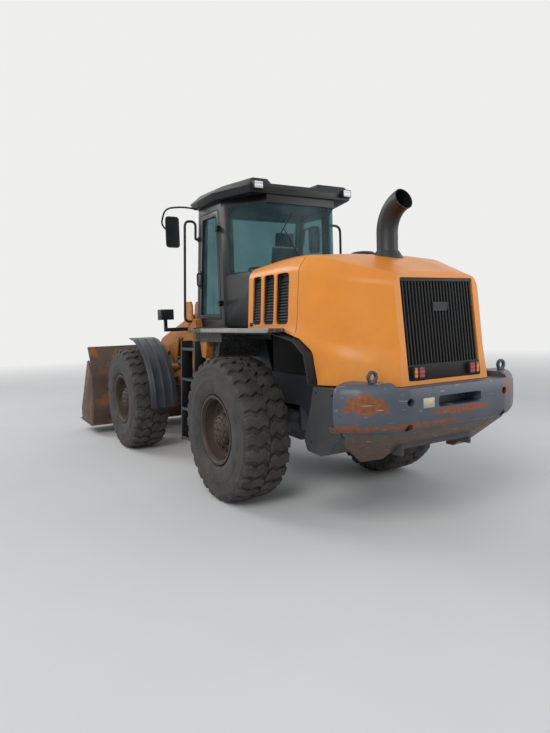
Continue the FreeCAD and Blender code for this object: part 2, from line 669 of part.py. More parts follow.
def cab():
    """Floor pan, frame with its windows cut, and roof."""
    floor = Piece("cab_floor")
    floor.pad("pan", "XY", cab_plan(0), S.cab_post_top, S.cab_floor_level)
    frame = Piece("cab_frame")
    frame.loft("walls", "XY", [(S.cab_floor_level, cab_plan(0)), (S.cab_top, cab_plan(0, S.cab_lean))])
    frame.loft("room", "XY", [(S.cab_floor_level, cab_plan(S.cab_wall)),
                              (S.cab_top, cab_plan(S.cab_wall, S.cab_lean))], cut=True)
    half = S.cab_front_half - 100
    frame.cut("front_window", "YZ", [(-half, S.window_low), (half, S.window_low), (half, S.window_high),
                                     (-half, S.window_high)], -S.cab_front - S.cab_lean - 130,
              -S.cab_front + 10)
    door = door_outline(0)
    frame.cut("door_holes", "XZ", door, -S.cab_half - 10, S.cab_half + 10)
    wrap = [(-S.cab_post - 90, S.cab_half + 30), (-S.cab_rear - 60, S.cab_half + 30),
            (-S.cab_rear - 60, -S.cab_half - 30), (-S.cab_post - 90, -S.cab_half - 30)]
    frame.cut("rear_window", "XY", wrap, S.sill, S.window_high)
    for level in DOOR_HINGES:
        near = level + 15 + S.seat_gap
        frame.pad("hinge_post", "XY", box(S.door_hinge_x - 12, S.door_hinge_x + 12, S.cab_half - 20,
                                          S.door_hinge_y),
                  near, near + 30)
        frame.pad_round("hinge_knuckle", "XY", [(S.door_hinge_x, S.door_hinge_y, S.hinge_knuckle)], near,
                        near + 30)
        frame.pad_round("hinge_pin", "XY", [(S.door_hinge_x, S.door_hinge_y, S.hinge_bolt)], level - 18,
                        near + 1)
    roof = Piece("cab_roof")
    roof.loft("crown", "XY", [
        (S.cab_top + S.seat_gap, roof_plan(60)), (S.cab_top + 70, roof_plan(110)),
                              (S.roof_top, roof_plan(-30))])
    roof.cut("saddle", "YZ", [(-240, S.roof_top + 10), (-200, S.roof_top - 50), (400, S.roof_top - 50),
                              (440, S.roof_top + 10)], -S.cab_rear - 200, -S.cab_front)


def roof_plan(over):
    """Plan of the roof, standing out over the cab by a margin."""
    return [(-S.cab_front - S.cab_lean + over, S.cab_front_half + over * 0.6),
            (-S.cab_post, S.cab_half + over),
            (-S.cab_rear - over * 0.3, S.cab_rear_half + 180 + over * 0.5),
            (-S.cab_rear - over * 0.3, -S.cab_rear_half - 180 - over * 0.5),
            (-S.cab_post, -S.cab_half - over),
            (-S.cab_front - S.cab_lean + over, -S.cab_front_half - over * 0.6)]


def door_outline(inset):
    """Outline of the door opening, or of something smaller inside it."""
    front_low = -S.cab_front - 70 - inset
    front_high = -S.cab_front - S.cab_lean - 55 - inset
    back = -S.cab_post + 75 + inset
    return [(front_low, S.window_low + inset), (front_high, S.window_high - inset),
            (back, S.window_high - inset),
            (back, S.window_low + inset)]


DOOR_HINGES = (2050, 2900)


def door():
    """Left door: a frame that fills the opening, with its pane."""
    frame = Piece("door_frame")
    outer_face = S.cab_half + 2
    gap = 6
    frame.pad("leaf", "XZ", door_outline(gap), S.cab_half - 40, outer_face)
    frame.cut("hole", "XZ", door_outline(60), S.cab_half - 50, outer_face + 10)
    for level in DOOR_HINGES:
        strap = [(S.door_hinge_x, S.door_hinge_y - 12), (S.door_hinge_x, S.door_hinge_y + 12), (-885, 775),
                 (-850, 775), (-850, S.cab_half), (-890, S.cab_half)]
        frame.pad("strap", "XY", strap, level - 15, level + 15)
        frame.pad_round("knuckle", "XY", [(S.door_hinge_x, S.door_hinge_y, S.hinge_knuckle)], level - 15,
                        level + 15)
        frame.cut_round("pin_bore", "XY", [(S.door_hinge_x, S.door_hinge_y, S.hinge_bolt + S.fit)],
                        level - 16,
                        level + 16)
    pane = Piece("door_glass")
    pane.pad("pane", "XZ", door_outline(60 + S.seat_gap), S.cab_half - 24, S.cab_half - 24 + S.glass)


def cab_glass():
    """Front pane, right side pane and the wrapped rear window."""
    piece = Piece("cab_glass")
    half = S.cab_front_half - 100 - S.seat_gap
    run = (S.window_high - S.window_low)
    lean = S.cab_lean * run / (S.cab_top - S.cab_floor_level)
    low_x = -S.cab_front - 25 - S.cab_lean * (S.window_low - S.cab_floor_level) / (S.cab_top - S.cab_floor_level)
    strip = [(low_x, S.window_low + 1), (low_x + S.glass, S.window_low + 1),
             (low_x + S.glass - lean, S.window_high - 1),
             (low_x - lean, S.window_high - 1)]
    piece.pad("front_pane", "XZ", strip, -half, half)
    piece.pad("side_pane", "XZ", door_outline(S.seat_gap), -S.cab_half + 22, -S.cab_half + 22 + S.glass)
    outer = cab_plan(16)
    inner = cab_plan(16 + S.glass)
    start = -S.cab_post - 91
    band = [(start, S.cab_half - 55), outer[2], outer[3], (start, -S.cab_half + 55),
            (start, -S.cab_half + 65), inner[3], inner[2], (start, S.cab_half - 65)]
    piece.pad("rear_pane", "XY", band, S.sill + S.seat_gap, S.window_high - S.seat_gap)


def seat():
    """Operator's seat on its pedestal."""
    piece = Piece("seat")
    piece.pad("pedestal", "XY", box(-1130, -870, -150, 150), S.cab_floor_level, 2150)
    piece.pad("cushion", "XZ", [(-1180, 2150), (-720, 2150), (-690, 2200), (-700, 2260), (-1150, 2240)],
              -240, 240)
    piece.pad("back", "XZ", [(-1150, 2240), (-1060, 2235), (-1150, 2880), (-1230, 2870), (-1240, 2240)],
              -220, 220)


def rear_housing():
    """Black covers that close the space between the cab and the cowl."""
    piece = Piece("rear_housing")
    low, high = 1786, 2390
    back = -S.cowl_front + S.seat_gap
    wall = [(-840, low), (-842, 2200), (-700, 2330), (-300, 2370), (300, 2370), (700, 2330), (842, 2200),
            (840, low)]
    piece.pad("bulkhead", "YZ", wall, back, back + 20)
    cover = [(-1010, 742), (back + 10, 742), (back + 10, -742), (-1010, -742), (-1042, -721),
             (-S.cab_rear - S.seat_gap, -S.cab_rear_half - 2),
             (-S.cab_rear - S.seat_gap, S.cab_rear_half + 2), (-1042, 721)]
    piece.pad("cover", "XY", cover, high - 40, high - 20)
    for side in (1, -1):
        plate = [(-1010, side * 742), (back + 10, side * 742), (back + 10, side * 724), (-1036, side * 724)]
        piece.pad("side", "XY", plate, low, high - 20)


def steering_console():
    """Steering column square to its tilted wheel."""
    column = Piece("steering_column")
    column.pad("column", "XZ", [(-382, S.cab_floor_level), (-285, S.cab_floor_level), (-553, 2463), (-636,
                                                                                                     2429)], -45, 45)
    wheel = Piece("steering_wheel")
    wheel.turn("rim", "XZ", [(168, -14), (196, -14), (196, 14), (168, 14), (168, 4), (55, 4), (55, 20), (0,
                                                                                                         20),
                             (0, -14), (55, -14), (55, -6), (168, -6)], "V_Axis")
    wheel.place(-600, 0, 2460, (0, 1, 0), -22)


def handrails():
    """Grab hoops at the front posts of the cab: a long outer leg and a short inner one."""
    piece = Piece("handrails")
    bar = 16
    low, high = 1850, 3060
    for side in (1, -1):
        face = S.cab_half + S.seat_gap
        for near, foot in ((780, 2850), (920, low)):
            start = -240 - (foot - low) * 123 / (high - low)
            leg = [(start - bar, foot), (start + bar, foot), (-363 + bar, high), (-363 - bar, high)]
            piece.pad("leg", "XZ", leg, *side_span(side, near, near + 2 * bar))
            stay = box(start - bar, start + bar, foot, foot + 2 * bar)
            piece.pad("stay", "XZ", stay, *side_span(side, face, near + 2 * bar))
        top = box(-363 - bar, -363 + bar, high, high + 2 * bar)
        piece.pad("top", "XZ", top, *side_span(side, 780, 920 + 2 * bar))


def mirrors():
    """Mirror heads on bent arms from the front posts."""
    piece = Piece("mirrors")
    for side in (1, -1):
        piece.pad("arm", "XZ", box(-412, -388, 3145, 3169), *side_span(side, S.cab_half + S.seat_gap, 1062))
        piece.pad("reach", "XZ", box(-412, -228, 3145, 3169), *side_span(side, 1038, 1062))
        piece.pad("head", "XZ", [(-252, 2765), (-212, 2775), (-212, 3130), (-252, 3146)],
                  *side_span(side, 960, 1140))


def roof_lamps():
    """Work lamps on the rear corners of the roof."""
    piece = Piece("roof_lamps")
    for side in (1, -1):
        piece.pad("lamp", "YZ", box(*side_span(side, 530, 650), 3245, 3335), -1575, -1533 - S.seat_gap)


def hood_section(foot, waist, shoulder, brow, crown, low, waist_z, shoulder_z, brow_z, crown_z):
    """Half widths and heights of one hood section, from the lower edge to the middle of the top."""
    return both_ways([(foot, low), (waist, waist_z), (shoulder, shoulder_z), (brow, brow_z),
                      (crown, crown_z)])


# Hood sections: place behind the hinge, half widths, then heights
HOOD = [
    # place, foot, waist, shoulder, brow, crown, waist_z, shoulder_z, brow_z, crown_z
    (1780, 930, 900, 850, 700, 300, 1740, 2240, 2375, 2405),
    (2690, 930, 900, 840, 690, 300, 1700, 2250, 2415, 2450),
    (3120, 850, 780, 690, 560, 260, 1650, 2160, 2325, 2385),
    (3470, 625, 560, 545, 460, 228, 1600, 2086, 2227, 2274),
    (3780, 425, 400, 400, 360, 190, 1560, 2020, 2140, 2175),
]


def hood_sections(first, last, shrink, low):
    """Loft sections of the hood or cowl, moved inward by a wall."""
    sections = []
    for place, foot, waist, shoulder, brow, crown, waist_z, shoulder_z, brow_z, crown_z in HOOD[first:last + 1]:
        corners = hood_section(size(foot) - shrink, size(waist) - shrink, size(shoulder) - shrink,
                               size(brow) - shrink * 0.7, crown, low, waist_z, shoulder_z - shrink * 0.3,
                               brow_z - shrink, crown_z - shrink)
        sections.append((-place, corners))
    return sections


def arch_cut(piece, what):
    """Clears the rear wheel arch out of a panel."""
    arch = [(-3000, S.hood_low - 60), (-2994, 1330), (-2934, 1575), (-2765, 1690),
            (-2390, S.deck_level + S.seat_gap),
            (-1700, S.deck_level + S.seat_gap), (-1700, S.hood_low - 60)]
    piece.cut(what, "XZ", arch, -1200, 1200)


def cowl():
    """Fixed cowl between cab and hood, with openings for its side grilles."""
    piece = Piece("cowl")
    first = hood_sections(0, 1, 0, S.hood_low)
    inner = hood_sections(0, 1, S.hood_wall, S.hood_low - 10)
    first[0] = (-S.cowl_front, first[0][1])
    inner[0] = (-S.cowl_front - S.hood_wall, inner[0][1])
    piece.loft("shell", "YZ", first)
    piece.loft("hollow", "YZ", inner, cut=True)
    arch_cut(piece, "arch")
    hinge_x = -S.hood_gap_place - S.hood_gap / 2
    for side in (1, -1):
        near = 220 + S.seat_gap
        piece.pad("hinge_leaf", "XZ", box(hinge_x, hinge_x + 60, 2440, S.lid_hinge_z - 6),
                  *side_span(side, near, 250))
        piece.pad_round("knuckle", "XZ", [(hinge_x, S.lid_hinge_z, S.hinge_knuckle)],
                        *side_span(side, near, 250))
        piece.pad_round("hinge_pin", "XZ", [(hinge_x, S.lid_hinge_z, S.hinge_bolt)],
                        *side_span(side, 178, 230))
    piece.cut_round("neck_hole", "XY", [(-2270, -230, 45 + S.seat_gap)], 2350, 2450)
    for x0, x1 in VENTS:
        for side in (1, -1):
            piece.cut("vent", "XZ", box(x0, x1, 1850, 2290), *side_span(side, 700, 1000))
    return piece


VENTS = [(-2110, -1900), (-2370, -2150), (-2640, -2410)]


def cowl_vents():
    """Side grilles of the cowl."""
    piece = Piece("cowl_vents")
    gap = S.seat_gap
    for side in (1, -1):
        for x0, x1 in VENTS:
            low, high = side * 873, side * 835
            panel = [(low, 1850 + gap), (high, 2290 - gap), (high - side * 15, 2290 - gap),
                     (low - side * 15, 1850 + gap)]
            piece.pad("grille", "YZ", panel, x0 + gap, x1 - gap)


def grille_band(low, high, near, far):
    """Side outline of a band of the leaning grille, between two depths behind its face."""
    def face(level):
        return -3600 + (size(level) - S.grille_low) * 97 / (S.grille_high - S.grille_low)
    return [(face(low) + near, low), (face(low) + far, low), (face(high) + far, high),
            (face(high) + near, high)]


def hood():
    """Tilting hood, its rear grille, lamps and exhaust."""
    shell = Piece("hood_shell")
    outer = hood_sections(1, 4, 0, S.hood_low)
    inner = hood_sections(1, 3, S.hood_wall, S.hood_low - 10)
    start = -S.hood_gap_place - S.hood_gap
    outer[0] = (start, outer[0][1])
    inner[0] = (start + 1, inner[0][1])
    shell.loft("shell", "YZ", outer)
    tail = [(-3800, 1200), (-3618, 1200), (-3497, 2250), (-3497, 2600), (-3800, 2600)]
    shell.cut("tail", "XZ", tail, -1200, 1200)
    shell.loft("room", "YZ", inner, cut=True)
    hinge_x = -S.hood_gap_place - S.hood_gap / 2
    for side in (1, -1):
        spot = [(hinge_x, S.lid_hinge_z, S.hinge_knuckle)]
        shell.pad("hinge_leaf", "XZ", box(hinge_x - 70, hinge_x, 2440, S.lid_hinge_z - 6),
                  *side_span(side, 180, 220))
        shell.pad_round("knuckle", "XZ", spot, *side_span(side, 180, 220))
        shell.cut_round("pin_bore", "XZ", [(hinge_x, S.lid_hinge_z, S.hinge_bolt + S.fit)],
                        *side_span(side, 179, 221))
        shell.cut("leaf_room", "XZ", box(hinge_x - 4, hinge_x + 20, 2430,
                                         S.lid_hinge_z - S.hinge_knuckle - 1),
                  *side_span(side, 179, 221))
    shell.cut_round("stack_hole", "XY", [(-2900, 0, 150 + S.seat_gap)], 2300, 2500)
    arch_cut(shell, "arch")
    shell.cut("window", "YZ", box(-S.grille_half, S.grille_half, S.grille_low, S.grille_high), -3800, -3400)
    grille = Piece("grille")
    half = S.grille_half - S.seat_gap
    low, high = S.grille_low + S.seat_gap, S.grille_high - S.seat_gap
    strip = S.grille_low + S.grille_strip
    grille.pad("panel", "XZ", grille_band(low, high, S.grille_sunk, S.grille_sunk + 15), -half, half)
    grille.pad("strip", "XZ", grille_band(low, strip, 0, S.grille_sunk + 5), -half, half)
    grille.pad("top_strip", "XZ", grille_band(high - 30, high, 0, S.grille_sunk + 5), -half, half)
    row = S.grille_pitch * 22
    start = -row / 2 - S.grille_rib / 2
    rib = grille.pad("rib", "XZ", grille_band(strip - 5, high - 25, 0, S.grille_sunk + 5), start,
                     start + S.grille_rib)
    grille.repeat("ribs", [rib], "Y_Axis", row, 23)
    lamps = Piece("tail_lamps")
    for side in (1, -1):
        lamps.pad("lamp", "XZ", [(-3625, 1345), (-3598.7, 1345), (-3586.6, 1450), (-3612, 1450)],
                  *side_span(side, 262, 388))
    exhaust()


def exhaust():
    """Exhaust pipe on its conical collar, bent to the rear, with a slanted open end."""
    stack = Piece("exhaust_stack")
    outer, inner = S.stack_radius, S.stack_radius - S.stack_wall
    stack.turn("collar", "XZ", [(inner, 0), (150, 0), (outer + 8, 75), (inner, 75)], "V_Axis")
    stack.pad_round("pipe", "XY", [(0, 0, outer), (0, 0, inner)], 70, S.stack_straight)
    drawing = stack.circles("XY", [(S.stack_bend, 0, outer), (S.stack_bend, 0, inner)], S.stack_straight)
    bind(drawing, "AttachmentOffset.Base.x", -S.stack_bend)
    drawing.AttachmentOffset = FreeCAD.Placement(
        FreeCAD.Vector(-S.stack_bend.value, 0, S.stack_straight.value), FreeCAD.Rotation())
    bend = stack.body.newObject("PartDesign::Revolution", stack.name("bend"))
    bend.Profile = drawing
    bend.ReferenceAxis = (drawing, ["V_Axis"])
    bend.Angle = S.stack_turn.value
    bend.Reversed = True
    bind(bend, "Angle", S.stack_turn)
    stack.cut("slant", "XZ", [(-340, 380), (-262, 415), (-170, 650), (-340, 650)], -120, 120)
    stack.place(-2900, 0, S.stack_foot)


def precleaner():
    piece = Piece("precleaner")
    piece.turn("bowl", "XZ", [(0, 0), (45, 0), (45, 60), (125, 70), (130, 110), (90, 135), (0, 140)],
               "V_Axis")
    piece.place(-2270, -230, 2401)


def flat_ring(flat):
    """A circle drawn as a regular polygon whose flats lie at this radius."""
    step = 360 / S.lug_count.value
    corner = flat / math.cos(math.radians(step / 2))
    return [(corner * math.cos(math.radians(step * (i + 0.5))),
             corner * math.sin(math.radians(step * (i + 0.5))))
            for i in range(int(S.lug_count.value))]


def carcass(tyre):
    """Tyre body of flats, with its bead seat."""
    half, lip = S.rim_half, S.rim_wall
    bead = half - lip - S.seat_gap
    base = S.tyre_radius - S.tread_deep
    profile = [(-bead, S.flange_radius + 6), (-half - 6, S.flange_radius + 8), (6 - S.sidewall_half, 440),
               (-S.sidewall_half, 560), (12 - S.sidewall_half, 650), (25 - S.tread_half, base - 20),
               (75 - S.tread_half, base)]
    profile += [(-size(across), flat) for across, flat in reversed(profile)]
    tyre.loft("body", "XZ", [(across, flat_ring(flat)) for across, flat in profile])
    tyre.cut("bead_seat", "XZ", flat_ring(S.seat_radius + S.seat_gap), -bead - 1, bead + 1)


def rim_section():
    """Half plane outline of a rim with its hub: radius against distance across."""
    half, lip, seat = S.rim_half, S.rim_wall, S.seat_radius
    socket = S.spindle_length + 20 - S.hub_inboard
    return [(0, S.hub_outboard), (S.hub_radius - 55, S.hub_outboard),
            (S.hub_radius - 20, S.hub_outboard - 30),
            (S.hub_radius, S.disc_offset + 20), (seat - 70, S.disc_offset + 20),
            (seat - lip, S.disc_offset + 60),
            (seat - lip, half), (S.flange_radius, half), (S.flange_radius, half - lip), (seat, half - lip),
            (seat, lip - half), (S.flange_radius, lip - half), (S.flange_radius, -half),
            (seat - lip, -half),
            (seat - lip, S.disc_offset), (S.hub_radius, S.disc_offset), (S.hub_radius, -S.hub_inboard),
            (S.spindle_radius + S.fit, -S.hub_inboard), (S.spindle_radius + S.fit, socket), (0, socket)]


def tread(tyre):
    """Bent bars across the tread, spread round the tyre."""
    side = S.tread_half
    front = [(62, -side), (84, -125), (34, 0), (84, 125), (62, side)]
    back = [(-62, side), (-50, 125), (-88, 0), (-50, -125), (-62, -side)]
    bar = tyre.pad("bar", "XY", front + back, S.tyre_radius - S.tread_deep - 25, S.tyre_radius)
    tyre.ring("bars", [bar], "Y_Axis", S.lug_count)


def wheels():
    """Four tyres on their rims; right-hand wheels are turned about."""
    first = None
    for name, x, side in (("front_left", front_axle_x, 1), ("front_right", front_axle_x, -1),
                          ("rear_left", rear_axle_x, 1), ("rear_right", rear_axle_x, -1)):
        rim = Piece(f"rim_{name}")
        tyre = Piece(f"tyre_{name}")
        carcass(tyre)
        tread(tyre)
        if first:
            rim.copy_of(first)
        else:
            rim.turn("rim", "XY", rim_section(), "V_Axis")
            first = rim
        for piece in (rim, tyre):
            piece.place(x, side * S.track / 2, axle_level, (0, 0, 1), 0 if side > 0 else 180)


def front_chassis():
    """Loader tower on the front axle, with its hinge lugs and pins."""
    piece = Piece("front_chassis")
    inner_face = S.tower_inner - S.tower_plate
    plate = [(230, S.frame_low), (1180, S.frame_low), (1300, 780), (1300, axle_level + S.axle_tube + 30),
             (1850, axle_level + S.axle_tube + 30), (1850, 980), (1150, 1190), (760, 1560), (640, 2090),
             (600, 2140),
             (440, 2140), (400, 2090), (380, 1560), (230, 1360)]
    for side in (1, -1):
        piece.pad("side_plate", "XZ", plate, *side_span(side, inner_face, S.tower_inner))
        tower = [(385, 1480), (760, 1480), (640, 2090), (600, 2140), (440, 2140), (400, 2090)]
        piece.pad("outer_plate", "XZ", tower, *side_span(side, S.tower_outer - S.tower_plate,
                                                         S.tower_outer))
        piece.pad("tower_back", "XZ", [(385, 1480), (410, 1480), (410, 1700), (385, 1700)],
                  *side_span(side, S.tower_inner - 5, S.tower_outer - 5))
        ear = [(100, 800), (130, 770), (330, 770), (260, 960), (130, 960), (100, 930)]
        piece.pad("lift_ear", "XZ", ear, *side_span(side, S.arm_centre + 62, S.arm_centre + 82))
        piece.pad("lift_ear_foot", "XZ", box(130, 330, 770, 795),
                  *side_span(side, inner_face, S.arm_centre + 70))
        pin_end = side_span(side, inner_face, S.arm_centre + 82)
        piece.pad_round("lift_pin", "XZ", [(S.lift_base_x, S.lift_base_z, S.pin_radius)], *pin_end)
        pin_end = side_span(side, inner_face, S.tower_outer + 15)
        piece.pad_round("boom_pin", "XZ", [(S.boom_pivot_x, S.boom_pivot_z, S.boom_pin)], *pin_end)
        near, far = side_span(side, 200, inner_face + 5)
        for base in (-1, 1):
            level = S.steer_level + base * (S.steer_bore + S.side_gap)
            low, high = (level - 20, level) if base < 0 else (level, level + 20)
            piece.pad("steer_lug", "XY", box(S.steer_eye_x - 45, S.steer_eye_x + 90, near, far), low, high)
    for level in (S.frame_low, S.hinge_high + 10):
        piece.pad("deck", "XY", box(175, 1180, -inner_face - 5, inner_face + 5), level, level + 30)
    piece.pad("hinge_web", "YZ", box(-120, 120, S.frame_low, S.hinge_high + 40), 175, 205)
    for level in (S.hinge_low, S.hinge_high):
        low, high = level - S.lug_plate / 2, level + S.lug_plate / 2
        lug = [(180, -200), (180, 200), (0, S.hinge_nose), (0, -S.hinge_nose)]
        piece.pad("lug", "XY", lug, low, high)
        piece.pad_round("lug_nose", "XY", [(0, 0, S.hinge_nose)], low, high)
        piece.cut_round("pin_bore", "XY", [(0, 0, S.hinge_pin + S.fit)], low - 1, high + 1)
    piece.pad("tower_wall", "YZ", box(-inner_face - 5, inner_face + 5, 1300, 1960), 385, 410)
    for way in (-1, 1):
        near, far = side_span(way, S.tilt_bore + 8, S.tilt_bore + 33)
        ear = [(400, S.tilt_base_z - 90), (S.tilt_base_x + 60, S.tilt_base_z - 60),
               (S.tilt_base_x + 60, S.tilt_base_z + 60), (400, S.tilt_base_z + 110)]
        piece.pad("tilt_ear", "XZ", ear, near, far)
    piece.pad_round("tilt_pin", "XZ", [(S.tilt_base_x, S.tilt_base_z, S.pin_radius)],
                    -S.tilt_bore - 35, S.tilt_bore + 35)


def front_fenders():
    """Curved fenders over the front wheels, each on its arm."""
    piece = Piece("front_fenders")
    outer, inner = S.fender_radius, S.fender_radius - S.fender_plate
    angles = [94, 78, 62, 46, 30, 14, 2]
    arc_out = [(front_axle_x - outer * math.sin(math.radians(a)),
                axle_level + outer * math.cos(math.radians(a)))
               for a in angles]
    arc_in = [(front_axle_x - inner * math.sin(math.radians(a)),
               axle_level + inner * math.cos(math.radians(a)))
              for a in reversed(angles)]
    rib_out, rib_in = [[(front_axle_x - radius * math.sin(math.radians(a)),
                         axle_level + radius * math.cos(math.radians(a)))
                        for a in row] for radius, row in ((outer + S.fender_rib, angles[:-1]),
                                                          (outer - 3, angles[-2::-1]))]
    for side in (1, -1):
        piece.pad("skin", "XZ", arc_out + arc_in, *side_span(side, S.fender_inner, S.fender_outer))
        for place in (S.fender_inner + 50, S.fender_inner + 175, S.fender_outer - 85):
            piece.pad("rib", "XZ", rib_out + rib_in, *side_span(side, place, place + 32))
        wall = arc_out[:-1] + [(1480, 1300), (1480, 950), (1380, 950), (1300, 1250), (900, 1100),
                               (800, axle_level)]
        piece.pad("inner_wall", "XZ", wall, *side_span(side, S.fender_inner,
                                                       S.fender_inner + S.fender_plate))
        piece.pad("arm", "XZ", box(1390, 1470, 955, 1035),
                  *side_span(side, S.tower_inner + S.seat_gap, S.fender_inner + 5))


def work_lamps():
    """Front lamps on stalks above the fenders."""
    piece = Piece("work_lamps")
    for side in (1, -1):
        piece.pad("bracket", "XZ", box(560, 610, 1740, 1790),
                  *side_span(side, S.tower_outer + S.seat_gap, 900))
        piece.pad("stalk", "XZ", box(565, 605, 1780, 1910), *side_span(side, 860, 900))
        piece.pad("head", "YZ", box(*side_span(side, 800, 980), 1900, 2040), 470, 610)


def ear_span(way, over):
    """Span of one bellcrank bracket plate, or a little more for its bore."""
    near = S.crank_half + S.side_gap
    return side_span(way, near - over, near + S.crank_ear + over)


def arm_frame(piece):
    """Boom arms with their lugs, cross tube and bellcrank bracket."""
    near, far = S.arm_centre - S.arm_plate / 2, S.arm_centre + S.arm_plate / 2
    arm = [(480, 1965), (860, 1868), (1740, 1625), (2140, 1330), (2640, 520), (2660, 400, 60),
           (2560, 330, 60),
           (2460, 400), (1950, 1080), (1600, 1370), (1118, 1571), (520, 1755), (400, 1780, 60),
           (400, 1940, 60)]
    for side in (1, -1):
        piece.pad("arm", "XZ", arm, *side_span(side, near, far))
        for plate in (-1, 1):
            edge = S.arm_centre + plate * (S.arm_plate / 2 + S.side_gap)
            low, high = (edge - 15, edge) if plate < 0 else (edge, edge + 15)
            lug = [(1010, 1650), (1420, 1500), (S.lift_eye_x + 70, S.lift_eye_z - 40),
                   (S.lift_eye_x, S.lift_eye_z - 70),
                   (S.lift_eye_x - 70, S.lift_eye_z - 40)]
            piece.pad("lift_lug", "XZ", lug, *side_span(side, low, high))
        piece.pad("lug_foot", "XZ", [(1040, 1640), (1380, 1530), (1380, 1490), (1040, 1600)],
                  *side_span(side, near - 20, far + 20))
        piece.cut_round("pivot_bore", "XZ", [(S.boom_pivot_x, S.boom_pivot_z, S.boom_pin + S.fit)],
                        *side_span(side, near - 1, far + 1))
        piece.cut_round("bucket_bore", "XZ", [(S.bucket_pin_x, S.bucket_pin_z, S.bucket_pin + S.fit)],
                        *side_span(side, near - 1, far + 1))
    piece.pad_round("cross_tube", "XZ", [(S.crank_x - 195, S.crank_z + 60, 80)], -near - 1, near + 1)
    for way in (-1, 1):
        ear = [(S.crank_x - 250, S.crank_z + 120), (S.crank_x - 250, S.crank_z),
               (S.crank_x - 20, S.crank_z - 90),
               (S.crank_x + 80, S.crank_z - 60), (S.crank_x + 90, S.crank_z + 60),
               (S.crank_x - 20, S.crank_z + 100)]
        piece.pad("crank_ear", "XZ", ear, *ear_span(way, 0))
        piece.cut_round("crank_bore", "XZ", [(S.crank_x, S.crank_z, S.crank_pin + S.fit)],
                        *ear_span(way, 1))


def boom():
    piece = Piece("boom_arms")
    arm_frame(piece)


def pin_piece(label, x, z, radius, spans):
    """Cross pins of one axis."""
    piece = Piece(label)
    for near, far in spans:
        piece.pad_round("pin", "XZ", [(x, z, radius)], near, far)
    return piece


def bucket():
    """Bucket of plates, with its lugs and cutting edge."""
    piece = Piece("bucket_shell")
    tip, plate = S.bucket_tip, S.bucket_plate
    outer = [(tip - 170, S.bucket_tip_z - 17), (2930, 150, 120), (2790, 420, 160), (2790, 980),
             (3080, 1490)]
    inner = [(3080 + 28, 1478), (2790 + plate + 2, 973), (2790 + plate, 430, 140), (2945, 150 + plate, 100),
             (tip - 170, S.bucket_tip_z + 8)]
    piece.pad("wrap", "XZ", outer + inner, -S.bucket_half + plate, S.bucket_half - plate)
    side_plate = [(tip - 170, S.bucket_tip_z - 17), (2930, 150, 120), (2790, 420, 160), (2790, 980),
                  (3000, 1265),
                  (3070, 1250), (tip - 172, 400)]
    for side in (1, -1):
        piece.pad("side", "XZ", side_plate, *side_span(side, S.bucket_half - plate, S.bucket_half))
        for way in (-1, 1):
            edge = S.arm_centre + way * (S.arm_plate / 2 + S.side_gap)
            low, high = (edge - 25, edge) if way < 0 else (edge, edge + 25)
            lug = [(2803, 760), (2640, 560), (2470, 460), (2490, 350), (2570, 330), (2690, 320),
                   (2852, 330), (2803, 440)]
            piece.pad("lug", "XZ", lug, *side_span(side, low, high))
            piece.cut_round("lug_bore", "XZ", [(S.bucket_pin_x, S.bucket_pin_z, S.bucket_pin + S.fit)],
                            *side_span(side, low - 1, high + 1))
        link_lug = [(2803, 940), (2640, 780), (2590, 740), (2590, 680), (2640, 645), (2803, 560)]
        piece.pad("link_lug", "XZ", link_lug, *side_span(side, 72, 97))
    edge = Piece("cutting_edge")
    edge.pad("blade", "XZ", [(tip, S.bucket_tip_z), (tip - 169.7, S.bucket_tip_z - 16), (tip - 169.7,
                                                                                         S.bucket_tip_z + 24)],
             -S.bucket_half, S.bucket_half)


